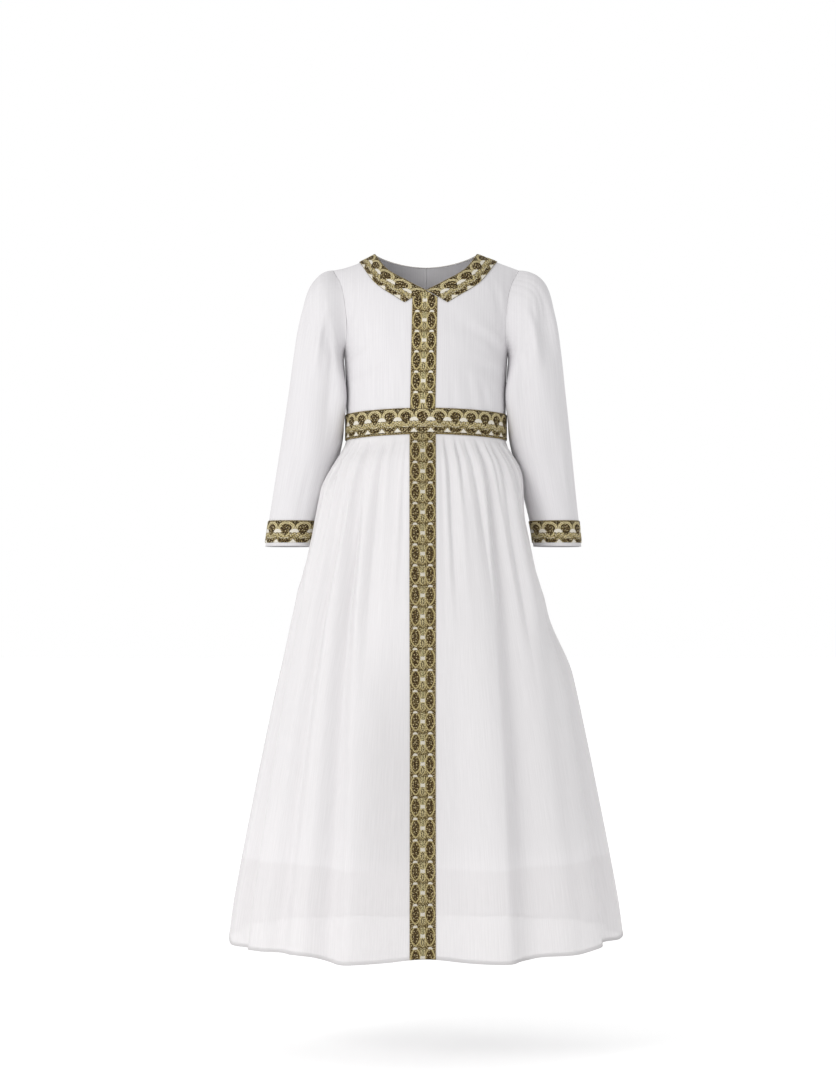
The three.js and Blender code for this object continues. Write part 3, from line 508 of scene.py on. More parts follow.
def sleeve_surface(side, angle, along):
    angle, along = np.meshgrid(angle, along)
    oval = sleeve_oval(side, angle, along)
    point = mix(armhole_seam(side, angle), oval, smooth(along / ARMHOLE_SEAM.blend)[..., None])
    middle = (sleeve_oval(side, 0, along) + sleeve_oval(side, 180, along)) / 2
    push = np.zeros(angle.shape)
    for place, half, depth, start, end in SLEEVE_FOLDS:
        stretch = bump((along - start) / (end - start) - 0.5, 0.5)
        push -= depth * bump(turn_between(angle, place), half) * stretch
    for first, last, half, depth, end in SLEEVE_PLEATS:
        done = smooth(along / end)
        near = sharp(turn_between(angle, mix(first, last, done)), half)
        push -= depth * near * smooth(along / SLEEVE_PLEAT_FULL) * (1 - done)
    return point + unit(point - middle) * push[..., None]


def sleeve_angles(side):
    """Angles in the order in which columns run to the left in front."""
    place = linspace(0, 360, SLEEVE_COLUMNS, endpoint=False)
    return 180 - place if side > 0 else place


def sleeve(side, word, material):
    head_rows, arm_rows = 44, 76
    angle = sleeve_angles(side)
    along = two_spacings(0, 0.25, 1, head_rows, arm_rows)
    grid = sleeve_surface(side, angle, along)
    angle, along = np.meshgrid(angle, along)
    turn = thread_angle(angle, along, grid[..., 0])
    turn = 180 - turn if side > 0 else turn
    uv = flat_place(turn * SLEEVE_FLAT.girth / 360, along * -SLEEVE_FLAT.length)
    piece = shell("cloth_sleeve_" + word, grid, uv, CLOTH, material, ring=True)
    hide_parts("sleeve_" + word)


def cuff(side, word, material):
    rows = 24
    along = linspace(CUFF.end, CUFF.start, rows)
    grid = sleeve_surface(side, sleeve_angles(side), along)
    thick = RIBBON * ribbon_crown(rows)
    grid += grid_normals(grid, True) * (RIBBON_LIFT + thick[:, None, None])
    length = linspace(0, CUFF.pattern_length, SLEEVE_COLUMNS, endpoint=False)
    uv = flat_place(linspace(CUFF.pattern_width, 0, rows)[:, None], length)
    piece = shell("ribbon_cuff_" + word, grid, uv, thick, material, ring=True)
    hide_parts("cuff_trim_" + word)


# ---- skirt and lining
def fall01(level):
    """0 at the waist seam and 1 at the hem."""
    return clip((WAIST_SEAM - level) / (WAIST_SEAM - HEM), 0, 1)


def hung_cloth(rows, a, level, z, inward, shift=0):
    """Points on a table's ovals, drawn inward from them. a is the angle in radians."""
    half = rows.half(level)
    depth = where(cos(a) > 0, rows.front(level), rows.back(level))
    out = unit(vectors(sin(a) / half, -cos(a) / depth, 0))
    return vectors(half * sin(a) + shift, -depth * cos(a), z) - out * inward[..., None]


def side_drop(a, down):
    """How much lower than in front the cloth hangs at the sides, near the waist seam."""
    return WAIST_SIDE_DROP * sin(a) ** 2 * (1 - smooth(down * 3))


def gather_depth(angle, level):
    """Small uneven waves under the waist seam."""
    a, turns = radians(angle), GATHER_COUNT * angle / 360
    for size, count, start in GATHER_SHIFTS:
        turns = turns + size * sin(count * a + start)
    phase = 2 * np.pi * turns
    uneven = 0.42 + 0.3 * sin(4 * a + 1) * sin(9 * a)
    return GATHERS.depth(level) * (1 - cos(phase + 0.45 * sin(phase))) * uneven


def press_depth(angle, level):
    depth = 0
    for middle, half, deep, top, upper, lower, bottom in SKIRT_PRESSES:
        reach = smooth((top - level) / (top - upper)) * smooth((level - bottom) / (lower - bottom))
        depth = depth + deep * reach * smooth(1.7 * (1 - abs(turn_between(angle, middle)) / half))
    return depth


def fold_depth(angle, level):
    down = fall01(level)
    depth = 0
    for waist, hem, half, deep, start, end, wider in SKIRT_FOLDS:
        offset = turn_between(angle, mix(hem, waist, (1 - down) ** FOLD.swing))
        span = half * mix(FOLD.waist_width, 1, down) * where(offset > 0, wider, 1)
        grow = smooth((start - level) / FOLD.growth) ** 0.8
        fade = 1 - smooth((end + FOLD.fade - level) / FOLD.fade)
        depth = depth + deep * bump(offset, span) * (grow * fade) * mix(FOLD.waist_depth, 1, down)
    return depth


def pleat_depth(angle, level):
    """Valleys with a sharp bottom and round shoulders."""
    down = fall01(level)
    knee = PLEAT.middle
    start = smooth((PLEAT.start - level) / PLEAT.growth)
    open_out = 1 - PLEAT.opened * smooth((PLEAT.opens - level) / PLEAT.opening)
    depth = 0
    for waist, middle, hem, half, deep, end in SKIRT_PLEATS:
        place = where(down < knee, mix(waist, middle, smooth(down / knee)),
                      mix(middle, hem, (down - knee) / (1 - knee)))
        fade = 1 - smooth((end + PLEAT.fade - level) / PLEAT.fade)
        depth = depth + deep * sharp(turn_between(angle, place), half) * start * open_out * fade
    return depth


def skirt_surface(angle, level):
    angle, level = np.broadcast_arrays(angle, level)
    a, down = radians(angle), fall01(level)
    off_band = abs(SKIRT.half(level) * sin(a) - PLACKET.waist_centre) - FLAT_UNDER_BAND.half
    free = where(cos(a) > 0, smooth(off_band / FLAT_UNDER_BAND.blend), 1)
    folds = fold_depth(angle, level) + pleat_depth(angle, level)
    inward = (gather_depth(angle, level) + folds) * free + press_depth(angle, level)
    z = level - side_drop(a, down) - HEM_DROP.drop(turn_between(angle, 0)) * down**3
    return hung_cloth(SKIRT, a, level, z, inward)


def skirt(material):
    upper_rows, lower_rows, columns = 44, 96, 330
    level = two_spacings(WAIST_SEAM, SKIRT_GATHERED_END, HEM, upper_rows, lower_rows)[:, None]
    over_hem = level - HEM
    rolled = CHIFFON + ROLLED_HEM.thicker * smooth((ROLLED_HEM.height - over_hem) / ROLLED_HEM.blend)
    for word, start, end in SKIRT_PANELS:
        angle = panel_angles(start, end, columns)
        grid = skirt_surface(angle, level)
        uv = flat_place(angle / 360 * HEM_GIRTH, over_hem)
        piece = shell("chiffon_skirt_" + word, grid, uv, rolled, material)
        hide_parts("skirt_" + word)


def lining_surface(angle, down):
    angle, down = np.broadcast_arrays(angle, down)
    a = radians(angle)
    level = mix(WAIST_SEAM, LINING_HEM.front, down)
    inward = press_depth(angle, level) + LINING_GAP
    for middle, span, deep in LINING_FOLDS:
        inward = inward + deep * bump(turn_between(angle, middle), span) * smooth(1.4 * down - 0.2)
    z = level - side_drop(a, down) + LINING_HEM.side * sin(a) ** 2 * down**3
    return hung_cloth(LINING, a, level, z, inward, LINING.shift(level))


def lining(material):
    rows, columns = 90, 160
    down = linspace(1, 0, rows)[:, None]
    for word, start, end in SKIRT_PANELS:
        angle = panel_angles(start, end, columns)
        grid = lining_surface(angle, down)
        uv = flat_place(angle / 360 * LINING_FLAT.girth, (1 - down) * LINING_FLAT.length)
        piece = shell("cloth_lining_" + word, grid, uv, LINING_CLOTH, material)
        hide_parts("lining_" + word)


# ---- ribbon trims
def ribbon_crown(count):
    """Share of the ribbon's thickness across its width: thinner at the woven edges."""
    across = abs(linspace(-1, 1, count))
    edge = clip((across - SELVAGE.start) / (1 - SELVAGE.start), 0, 1)
    return mix(SELVAGE.thin, 1, np.sqrt(1 - edge**2))


def lay_ribbon(node, host, normals, uv, material, lengthwise=False, height=1):
    """A ribbon on its host's points, whose rows run across it or lengthwise."""
    crown = ribbon_crown(ACROSS) * height
    crown = crown[:, None, None] if lengthwise else crown[:, None]
    grid = host + normals * (RIBBON_LIFT + RIBBON * crown)
    piece = shell("ribbon_" + node, grid, uv, RIBBON * SELVAGE.thin, material)
    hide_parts(node)


def collar_end(x):
    return mix(NECKLINE.height(0), COLLAR_EDGE.height(0), abs(x) / COLLAR_EDGE.half(0))


def upper_placket(material):
    offset = linspace(-PLACKET.width / 2, PLACKET.width / 2, ACROSS)
    low, high = WAISTBAND.top - PLACKET.tuck, collar_end(offset) - PLACKET.collar_gap
    rows = 150
    z = mix(low, high, linspace(0, 1, rows)[:, None])
    centre = mix(PLACKET.neck_centre, PLACKET.waist_centre, clip(z / WAISTBAND.top, 0, 1))
    host = torso(-1, centre + offset, z)
    normals = torso_normals(host)
    host = host - normals * bodice_creases(-1, centre + offset, z)[..., None]
    uv = flat_place(offset, UPPER_OVAL - z)
    lay_ribbon("placket_upper", host, normals, uv, material)


def lower_placket(material):
    half_width = PLACKET.skirt_width / 2
    offset = linspace(-half_width, half_width, ACROSS)
    low, high = HEM + PLACKET.hem_gap, WAISTBAND.bottom + PLACKET.tuck
    rows = 420
    level = linspace(low, high, rows)[:, None]
    angle = np.degrees(np.arcsin((PLACKET.waist_centre + offset) / SKIRT.half(level)))
    host = skirt_surface(angle, level)
    scale = np.array([PLACKET.width / PLACKET.skirt_width, OVAL_PITCH / LOWER_PITCH])
    uv = flat_place(offset, LOWER_OVAL - level) * scale
    lay_ribbon("placket_lower", host, grid_normals(host, False), uv, material)


def waistband(material):
    parts = (("front", -90, 90, 300), ("back_left", 90, 180, 150), ("back_right", -180, -90, 150))
    for word, start, end, columns in parts:
        angle = panel_angles(start, end, columns)
        level = linspace(WAISTBAND.bottom, WAISTBAND.top, ACROSS)[:, None]
        x = TORSO.half(level) * sin(radians(angle))
        host = torso(where(abs(angle) <= 90, -1, 1), x, level - waist_drop(x))
        arc = arc_length(host[0])
        arc = arc - arc[len(arc) // 2] if word == "front" else arc
        uv = flat_place(WAISTBAND.top - level, arc + WAISTBAND.pattern_shift)
        lay_ribbon("waistband_" + word, host, torso_normals(host), uv, material, True, WAISTBAND.height)


def collar(side, word, material):
    shoulder_x = COLLAR_EDGE.half(1) + side * COLLAR.lean
    shoulder_z = float(shoulder_line(side * shoulder_x))
    back = NECK.height - NECK.back_dip
    # Columns run from the front point to the shoulder, and on to the middle of the back.
    front_columns, back_columns = 90, 80
    t = 1 - (1 - linspace(0, 1, front_columns)) ** 2
    turn = radians(linspace(0, 90, back_columns)[1:])
    fall = sin(turn) ** 2
    face = concatenate([np.full(t.shape, -1), np.full(turn.shape, 1)])
    front_x = mix(COLLAR.front_gap, NECK.half, t)
    edge_x = COLLAR_EDGE.half(t) + (shoulder_x - COLLAR_EDGE.half(1)) * t**2
    edge_z = COLLAR_EDGE.height(t) + (shoulder_z - COLLAR_EDGE.height(1)) * t**2
    inner_x = concatenate([front_x, mix(COLLAR.back_gap, NECK.half, cos(turn))])
    inner_z = concatenate([neckline(-1, front_x), mix(NECK.height, back, fall)])
    outer_x = concatenate([edge_x, mix(COLLAR.back_gap, shoulder_x, cos(turn))])
    outer_z = concatenate([edge_z, mix(shoulder_z, back - COLLAR.back_drop, fall)])
    down = linspace(1, 0, ACROSS)[:, None]
    host = torso(face, side * mix(inner_x, outer_x, down), mix(inner_z, outer_z, down))
    arc = arc_length(host[ACROSS // 2])
    uv = flat_place(down * COLLAR.pattern_width, arc / COLLAR.pattern_stretch)
    if side < 0:
        host, uv = host[:, ::-1], uv[:, ::-1]
    lay_ribbon("collar_" + word, host, torso_normals(host), uv, material, True, COLLAR.height)


# ---- shader fields
def feed(tree, socket, value):
    """Gives a socket a field, another socket, a colour or a number."""
    if isinstance(value, Field):
        tree.links.new(value.socket, socket)
    elif isinstance(value, bpy.types.NodeSocket):
        tree.links.new(value, socket)
    else:
        socket.default_value = (*value, 1) if isinstance(value, tuple) else value


def add_node(tree, kind, inputs, **settings):
    """A new shader node, with values for its inputs by their names or numbers."""
    node = tree.nodes.new("ShaderNode" + kind)
    for name, value in settings.items():
        setattr(node, name, value)
    for name, value in inputs.items():
        feed(tree, node.inputs[name], value)
    return node


class Field:
    """A number that varies over a surface, made from math nodes."""

    def __init__(self, tree, socket):
        self.tree, self.socket = tree, socket

    def math(self, operation, *others):
        node = add_node(self.tree, "Math", dict(enumerate((self, *others))), operation=operation)
        return Field(self.tree, node.outputs[0])

    __add__ = partialmethod(math, "ADD")
    __sub__ = partialmethod(math, "SUBTRACT")
    __mul__ = partialmethod(math, "MULTIPLY")
    __truediv__ = partialmethod(math, "DIVIDE")
    __pow__ = partialmethod(math, "POWER")
    abs = partialmethod(math, "ABSOLUTE")
    smaller = partialmethod(math, "MINIMUM")
    larger = partialmethod(math, "MAXIMUM")

    def repeat(self, pitch):
        """Signed distance to the nearest multiple of pitch."""
        return (self / pitch + 0.5).math("FRACT") * pitch - pitch / 2

    def below(self, edge, soft):
        """1 where the field is under edge and 0 above it, blended over soft."""
        low = edge - soft / 2
        ends = {"From Min": low, "From Max": low + soft, "To Min": 1, "To Max": 0}
        node = add_node(self.tree, "MapRange", {"Value": self, **ends}, interpolation_type="SMOOTHSTEP")
        return Field(self.tree, node.outputs["Result"])

    def between(self, low, high, soft):
        return self.below(high, soft) - self.below(low, soft)


def box(x, y, half_x, half_y, soft):
    return x.abs().below(half_x, soft) * y.abs().below(half_y, soft)


def lens(x, y, low, half_x, half_y, blunt, soft):
    """1 inside a lens at y = low. Its ends, up and down, are pointed where blunt is small."""
    return ((x.abs() / half_x) ** blunt + ((y - low) / half_y) ** 2).below(1, soft)


class Cloth:
    """A new material with helpers for its node tree."""

    def __init__(self, name):
        self.material = bpy.data.materials.new(name)
        self.material.use_nodes = True
        self.tree = self.material.node_tree
        self.shader = self.tree.nodes["Principled BSDF"]
        place = add_node(self.tree, "UVMap", {}, uv_map="cloth")
        split = add_node(self.tree, "SeparateXYZ", {0: place.outputs[0]})
        self.u, self.v = (Field(self.tree, split.outputs[i]) for i in (0, 1))

    def texture(self, kind, u, v, seed=0.0, **inputs):
        """A texture node read at two fields, where its grains are about 1 apart."""
        place = add_node(self.tree, "CombineXYZ", {0: u, 1: v, 2: seed}).outputs[0]
        return add_node(self.tree, kind, {"Vector": place, "Scale": 1, **inputs})

    def noise(self, u_size, v_size, seed, roughness=0.6):
        """Noise with grains of these sizes in mm along the cloth's two directions."""
        place = (self.u / u_size, self.v / v_size, seed)
        node = self.texture("TexNoise", *place, Detail=1, Roughness=roughness)
        return Field(self.tree, node.outputs[0])

    def crinkle(self, pitch):
        """Fine uneven crinkles that run down the cloth, 0 to 1."""
        sway = self.noise(40, 120, 3, 0.5) * 3
        node = self.texture("TexNoise", (self.u + sway) / pitch, self.v / (pitch * 45), Detail=1)
        return Field(self.tree, node.outputs[0])

    def speckle(self, size, radius, seed):
        """Small woven dots, size apart and of this radius in mm: 1 on a dot."""
        node = self.texture("TexVoronoi", self.u / size + seed, self.v / size, Randomness=0.75)
        node.voronoi_dimensions = "2D"
        return Field(self.tree, node.outputs["Distance"]).below(radius / size, 0.12)

    def paint(self, colour, *coats):
        """A colour under coats, each of them a colour and its share."""
        for coat, share in coats:
            # Inputs 6 and 7 and output 2 of this node are its colours.
            node = add_node(self.tree, "Mix", {0: share, 6: colour, 7: coat}, data_type="RGBA")
            colour = node.outputs[2]
        return colour

    def bump(self, height, distance):
        node = add_node(self.tree, "Bump", {"Distance": distance * MM, "Strength": 1, "Height": height})
        self.set(Normal=node.outputs[0])

    def set(self, **sockets):
        for name, value in sockets.items():
            feed(self.tree, self.shader.inputs[name.replace("_", " ")], value)


# ---- white cloths
# Their colours on the crinkles and between them: the colour between them is painted shade in the crinkles'
# dips.
CREPE = Sizes(lit=(0.69, 0.678, 0.692), dim=(0.655, 0.642, 0.657))
LINING_WHITE = Sizes(lit=(0.84, 0.83, 0.842), dim=(0.83, 0.82, 0.832))
SHEER_WHITE = Sizes(lit=(0.86, 0.845, 0.855), dim=(0.84, 0.825, 0.835))
# Painted shade on the chiffon below the lining's hem, where no lining lies behind it.
SHADE_BELOW_LINING = (0.765, 0.745, 0.752)
# Painted shade, used beside the ribbon and on the rolled hem.
SHADED = (0.60, 0.585, 0.59)
# How opaque the chiffon is on its crinkles, between them and at its rolled hem, and levels
# above the hem.
SHEER = Sizes(open=0.70, dense=0.76, hem=0.94, hem_height=4, lining_end=109)
# Beside the ribbon, low on the skirt, the chiffon is painted in shade.
SHADE_BESIDE_RIBBON = Sizes(outer=-150, inner=-40, top=430, bottom=230, shade=0.42)


def white_cloth(name, white, pitch, relief):
    """Crinkled white cloth painted in shade between its crinkles, with its colour and the share that lies
    between them.
    """
    cloth = Cloth(name)
    lines = cloth.crinkle(pitch)
    dips = lines.below(0.5, 0.4)
    # The dips between the crinkles are painted in shade.
    colour = cloth.paint(white.lit, (white.dim, dips))
    cloth.set(Base_Color=colour, Roughness=0.8, Specular_IOR_Level=0.15)
    cloth.set(Sheen_Weight=0.12, Sheen_Roughness=0.5)
    cloth.bump(lines + cloth.noise(0.45, 0.55, 5) * 0.15, relief)
    return cloth, colour, dips


def chiffon_cloth():
    """Sheer cloth, denser between its crinkles and at its rolled hem. It is painted in shade at its rolled
    hem, below the lining and beside the ribbon.
    """
    cloth, colour, dips = white_cloth("sheer_chiffon", SHEER_WHITE, 1.1, 0.12)
    shade_width = SHADE_BESIDE_RIBBON.inner - SHADE_BESIDE_RIBBON.outer
    beside = cloth.u.between((SHADE_BESIDE_RIBBON.outer + SHADE_BESIDE_RIBBON.inner) / 2, 0, shade_width)
    lower = cloth.v.below((SHADE_BESIDE_RIBBON.top + SHADE_BESIDE_RIBBON.bottom) / 2, SHADE_BESIDE_RIBBON.top - SHADE_BESIDE_RIBBON.bottom)
    rolled = cloth.v.below(SHEER.hem_height, 0.6)
    colour = cloth.paint(
        colour,
        # Painted shade beside the ribbon, stronger lower down.
        (SHADED, beside * lower * SHADE_BESIDE_RIBBON.shade),
        # Painted shade below the lining's hem.
        (SHADE_BELOW_LINING, cloth.v.below(SHEER.lining_end, 6) * 0.42),
        # The rolled hem is painted in shade.
        (SHADED, rolled * 0.7),
    )
    dense = dips * (SHEER.dense - SHEER.open) + SHEER.open
    cloth.set(Base_Color=colour, Alpha=dense.larger(rolled * SHEER.hem))
    return cloth.material


# ---- woven ribbons
DEEP = (0.014, 0.007, 0.002)
BROWN = (0.066, 0.038, 0.011)
OLIVE = (0.135, 0.090, 0.030)
OLD_GOLD = (0.27, 0.205, 0.085)
GOLD = (0.285, 0.220, 0.088)
SAND = (0.37, 0.30, 0.13)
MOSS = (0.40, 0.37, 0.19)
RIM = (0.52, 0.44, 0.21)
PALE = (0.58, 0.495, 0.265)
STRAY = (0.66, 0.58, 0.36)
STITCH = (0.68, 0.57, 0.34)
GLINT = (0.70, 0.63, 0.42)
CREAM = (0.69, 0.655, 0.575)

# The ribbon of ovals. Across is from its middle, and heights run down from an oval's middle.
COLUMN_HALF = 4.8
OVAL_MIDDLE = 8.6
CAP_MIDDLE = 9.1
CROSS = Sizes(half=2.8, waist=1.95, flare=0.6)
# Lenses: how low each lies, half width, half height, how blunt its ends are, soft edge.
LENSES = Sizes(
    arch=(7, 3.4, 5.6, 1.6, 0.12), loop=(7.2, 2.1, 4.5, 1.6, 0.15), tongue=(7.4, 0.9, 3.3, 1.6, 0.2),
    rim=(-0.2, 6.3, 12, 1.35, 0.07), groove=(-0.2, 5.2, 10.8, 1.35, 0.08),
    oval=(0, 4.5, 9.6, 1.45, 0.07), cap=(1.7, 2.9, 2.6, 2.2, 0.2),
)
# Upright bars over each cross: how far out, half width, top, bottom, soft ends, colour, share.
BARS = (
    (0, 3.2, -10.8, -2, 0.4, DEEP, 0.85), (1.9, 0.6, -10.6, -2.2, 0.5, PALE, 1),
    (0, 0.75, -10, -2.2, 0.5, MOSS, 1),
)

# The ribbon of medallions. Levels run down from its upper edge.
BAND_PITCH = 20.85
ARCH = Sizes(level=11.6, end=13.2, inner=7.2, groove=8.5, groove_end=9, outer=10.3)
MEDALLION = Sizes(level=10.2, half=7, dome=6.2, point=9.6)
WAVE = Sizes(level=20.4, rise=1.6, half=3.4)
SCALLOP = Sizes(level=24.2, half=8.4, deep=6.3, ground=24, ground_end=30.8)
MOON = (16, 5.6, 4.9, 2, 0.12)
TRIANGLE = Sizes(base=30.1, half=4.7, height=5.4)
EDGES = Sizes(upper=1.2, lower=31.3)


def stitches(cloth, colour, area):
    """The dark cloth of an oval or medallion, dotted with pale and gold stitches."""
    return cloth.paint(
        colour,
        (DEEP, area),
        (BROWN, area * cloth.noise(1.4, 1.4, 23).between(0.54, 2, 0.1)),
        (GOLD, area * cloth.speckle(2.8, 0.56, 4.3)),
        (STITCH, area * cloth.speckle(4, 0.6, 9.1) * 0.9),
    )


def finish_ribbon(cloth, colour, height, clean):
    """The ribs and stray threads of both ribbons. clean is 1 where few stray threads show."""
    ribs = (cloth.v * 8).math("SINE") * (cloth.u * 8).math("SINE")
    grit = cloth.noise(1.3, 1.3, 11)
    stray = clean * -0.8 + 1
    colour = cloth.paint(colour, (DEEP, grit.below(0.455, 0.07) * stray * 0.88),
                         (STRAY, grit.between(0.59, 2, 0.06) * stray * 0.6))
    cloth.set(Base_Color=colour, Roughness=0.6, Specular_IOR_Level=0.08)
    cloth.bump(height + ribs * 0.1 + grit * 0.3, 0.3)
    return cloth.material


def oval_ribbon(name, shade):
    """Two mirrored columns of dark ovals, darker by shade. u is across, v down from an oval."""
    cloth = Cloth(name)
    across = cloth.u.abs()
    y, apart = cloth.v.repeat(OVAL_PITCH), (cloth.v + OVAL_PITCH / 2 - 0.8).repeat(OVAL_PITCH)
    beside = across - OVAL_MIDDLE
    column = across.below(COLUMN_HALF, 0.6)
    bars = [(colour, (across - out).abs().below(half, 0.3) * y.between(top, bottom, soft) * share)
            for out, half, top, bottom, soft, colour, share in BARS]
    arch, loop, tongue = (lens(cloth.u, y, *part) for part in (LENSES.arch, LENSES.loop, LENSES.tongue))
    knot = box(across - 1.7, apart.abs() - 0.6, 1.1, 0.5, 0.4) + box(across - 3.8, apart, 0.6, 1.8, 0.4)
    rim, groove, oval = (lens(beside, y, *part) for part in (LENSES.rim, LENSES.groove, LENSES.oval))
    # The middle column: bars above each cream cross, an arch below it, and a knot between.
    colour = cloth.paint(
        DEEP,
        (OLIVE, cloth.noise(1.4, 1.4, 2).between(0.40, 2, 0.2)),
        (GOLD, column),
        *bars,
        (PALE, arch * 0.85), (DEEP, loop * 0.9), (PALE, tongue * 0.9), (DEEP, knot.smaller(1) * 0.85),
        (RIM, rim), (GOLD, groove),
    )
    colour = stitches(cloth, colour, oval)
    # Cream caps between the ovals, and a cream cross level with their middles.
    cap = lens(across - CAP_MIDDLE, apart, *LENSES.cap) * apart.below(1.9, 0.5)
    waist = (across / CROSS.half) ** 2 * CROSS.flare + CROSS.waist
    cross = (y.abs() - waist).below(0, 0.5) * across.below(CROSS.half, 0.5)
    light = cap.larger(cross)
    edge = (across - PLACKET.width / 2).between(-1.1, 1, 0.35)
    colour = cloth.paint(colour, (CREAM, light), (OLD_GOLD, edge), (BROWN, shade))
    clean = light.larger(rim * 0.75).larger(oval).larger(column * 0.35)
    return finish_ribbon(cloth, colour, rim * 0.5 - groove * 0.25 - oval * 0.25 + light * 0.4, clean)


def medallion_ribbon():
    """Dark medallions under gold arches. u is across from the upper edge, v along the ribbon."""
    cloth = Cloth("ribbon_of_medallions")
    u, y = cloth.u, cloth.v.repeat(BAND_PITCH)
    between = (cloth.v + BAND_PITCH / 2).repeat(BAND_PITCH)
    turn = 2 * math.pi / BAND_PITCH
    # Arches over the medallions, with dark wedges between their shoulders.
    away = (y ** 2 + (u - ARCH.level) ** 2).math("SQRT")
    over = u.below(ARCH.end, 0.8)
    wedge = (between.abs() + (u - 1.2) * 1.15).below(5.6, 0.7) * u.between(1, 6.2, 0.5)
    arches = (away.between(ARCH.inner, ARCH.groove, 0.4)
              + away.between(ARCH.groove_end, ARCH.outer, 0.4)) * over
    # The speckled wave under them.
    wave = (u - WAVE.level) - (cloth.v * turn).math("COSINE") * WAVE.rise
    in_wave = wave.abs().below(WAVE.half, 0.5)
    # Medallions, domed above and pointed below.
    above = (u * -1 + MEDALLION.level) / MEDALLION.dome
    under = (u - MEDALLION.level) / MEDALLION.point
    medal = (y.abs() / MEDALLION.half) ** 1.55 + above.larger(0) ** 2 + under.larger(0) ** 1.25
    medal_rim = medal.below(1.3, 0.12) * above.larger(under).below(1.1, 0.1)
    medal = medal.below(1, 0.08)
    colour = cloth.paint(
        GOLD,
        (OLIVE, cloth.noise(1.4, 1.4, 2).between(0.55, 2, 0.2)),
        (DEEP, wedge * 0.9),
        (BROWN, away.between(ARCH.groove, ARCH.groove_end, 0.4) * over),
        (PALE, arches),
        (GLINT, arches * cloth.speckle(1.9, 0.55, 6.1) * 0.8),
        (DEEP, between.abs().below(0.4, 0.3) * u.between(5.5, 11.5, 0.5) * 0.8),
        (SAND, in_wave),
        (BROWN, in_wave * cloth.speckle(3, 0.7, 3.7)),
        (PALE, in_wave * cloth.speckle(2.6, 0.7, 7.9)),
        (CREAM, in_wave * cloth.speckle(4.1, 0.65, 1.9) * 0.85),
        (DEEP, (wave - 3.3).abs().below(0.4, 0.3) * 0.75),
        (PALE, medal_rim * 0.75),
    )
    colour = stitches(cloth, colour, medal)
    # Dark scallops with cream triangles between them.
    bowl = ((y / SCALLOP.half) ** 2 + ((u - SCALLOP.level) / SCALLOP.deep) ** 2).math("SQRT")
    hangs = (u - SCALLOP.level).math("SIGN").larger(0)
    scallop = bowl.below(0.94, 0.07) * hangs
    colour = cloth.paint(colour, (BROWN, u.between(SCALLOP.ground, SCALLOP.ground_end, 0.4) * 0.9),
                         (PALE, bowl.between(0.92, 1.06, 0.08) * hangs * 0.7))
    colour = stitches(cloth, colour, scallop)
    slope = (u * -1 + TRIANGLE.base) / TRIANGLE.height
    triangle = (between.abs() / TRIANGLE.half + slope).below(1, 0.1)
    # Cream half moons over the wave, and a dash over each scallop.
    moon = lens(between, u, *MOON) * (u + (cloth.v * (4 * turn)).math("COSINE") * 0.3).below(MOON[0], 0.5)
    light = moon.larger(triangle * u.below(30, 0.5))
    dash = y.abs().below(3.6, 1.2) * (u - 23.4 + (y / 6) ** 2).abs().below(0.35, 0.4)
    rope = (cloth.v * 4 + u * 3).math("SINE").between(0.1, 2, 0.4)
    upper, lower = EDGES.upper, EDGES.lower
    colour = cloth.paint(
        colour,
        (DEEP, between.abs().below(5.6, 0.6) * u.between(15.9, 16.6, 0.4) * 0.6),
        (CREAM, light.larger(dash * 0.5)),
        (OLIVE, u.below(upper, 0.3) + u.between(lower, 35, 0.3)),
        (GOLD, (u.below(1, 0.3) + u.between(31.6, 33.6, 0.3)) * rope * 0.9),
        (DEEP, (u.between(upper, 1.75, 0.3) + u.between(30.5, lower, 0.3)) * 0.85),
    )
    clean = light.larger(medal).larger(arches * 0.6).larger(scallop)
    return finish_ribbon(cloth, colour, light * 0.5 + arches * 0.4 - medal * 0.3, clean)


# ---- studio, in metres
SENSOR = 36
EYE = Sizes(distance=3.7, height=-0.4454)
PHOTO = Sizes(width=836, height=1080, mm_per_pixel=1.28, axis_x=426, axis_y=610)
FLOOR = Sizes(height=-1.009, reach=30)
AMBIENT = 0.78
KEY_LIGHT = Sizes(place=(-2.4, -2.7, 1.2), aim=(0, 0, -0.5), size=1.6, power=49, colour=(1, 0.99, 0.98))


def camera():
    data = bpy.data.cameras.new("camera")
    data.sensor_width = SENSOR
    data.lens = SENSOR * EYE.distance / (PHOTO.height * PHOTO.mm_per_pixel * MM)
    data.shift_x = (PHOTO.width / 2 - PHOTO.axis_x) / PHOTO.height
    data.shift_y = (PHOTO.axis_y - PHOTO.height / 2) / PHOTO.height
    eye = add_object("camera", data)
    eye.location = (0, -EYE.distance, EYE.height)
    eye.rotation_euler = (math.radians(90), 0, 0)
    SCENE.camera = eye


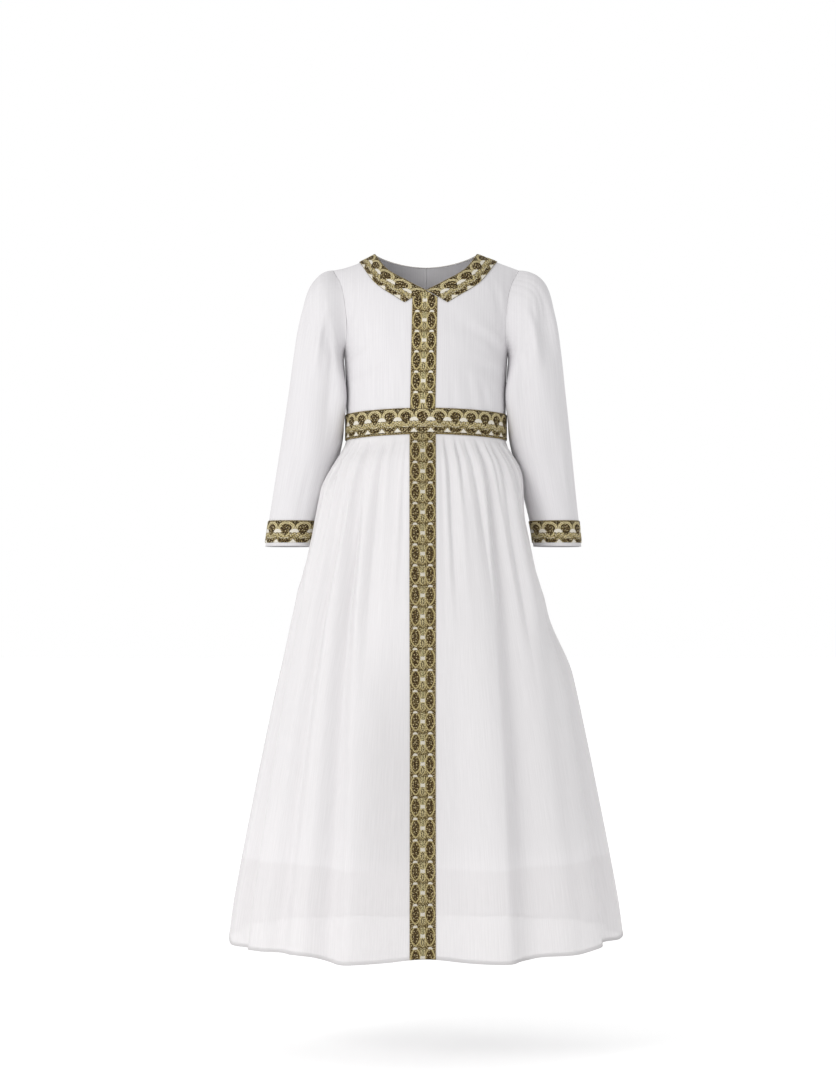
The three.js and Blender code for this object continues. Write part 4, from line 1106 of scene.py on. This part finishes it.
def key_light():
    data = bpy.data.lights.new("key", "AREA")
    data.shape = "DISK"
    data.size, data.energy, data.color = KEY_LIGHT.size, KEY_LIGHT.power, KEY_LIGHT.colour
    light = add_object("key", data)
    light.location = KEY_LIGHT.place
    x, y, z = np.array(KEY_LIGHT.aim) - np.array(KEY_LIGHT.place)
    light.rotation_euler = (math.atan2(math.hypot(x, y), -z), 0, math.atan2(-x, y))


def backdrop():
    """White where the camera sees it, and dimmer as a light on the dress."""
    world = bpy.data.worlds.new("studio")
    world.use_nodes = True
    tree = world.node_tree
    background = tree.nodes["Background"].inputs
    seen = Field(tree, add_node(tree, "LightPath", {}).outputs["Is Camera Ray"])
    feed(tree, background["Color"], (1, 1, 1))
    feed(tree, background["Strength"], seen * (1 - AMBIENT) + AMBIENT)
    SCENE.world = world


def pale_floor():
    mesh = bpy.data.meshes.new("floor")
    reach, z = FLOOR.reach, FLOOR.height
    corners = [(-reach, -reach, z), (reach, -reach, z), (reach, reach, z), (-reach, reach, z)]
    mesh.from_pydata(corners, [], [(0, 1, 2, 3)])
    floor = add_object("floor", mesh)
    pale = Cloth("pale_floor")
    pale.set(Base_Color=(0.95, 0.95, 0.95), Roughness=0.6, Specular_IOR_Level=0.1)
    pale.set(Emission_Color=(1, 1, 1), Emission_Strength=0.3)
    mesh.materials.append(pale.material)


# ---- the dress in its studio
SCENE.view_settings.view_transform = "Standard"
camera()
backdrop()
key_light()
pale_floor()

crepe = white_cloth("crinkled_crepe", CREPE, 1.4, 0.14)[0].material
inner_cloth = white_cloth("white_lining", LINING_WHITE, 3, 0.05)[0].material
medallions = medallion_ribbon()
bodice(crepe)
for wearer_side in ((1, "left"), (-1, "right")):
    sleeve(*wearer_side, crepe)
    cuff(*wearer_side, medallions)
    collar(*wearer_side, medallions)
skirt(chiffon_cloth())
lining(inner_cloth)
upper_placket(oval_ribbon("ribbon_of_ovals", 0.0))
lower_placket(oval_ribbon("ribbon_of_ovals_in_shade", 0.2))
waistband(medallions)
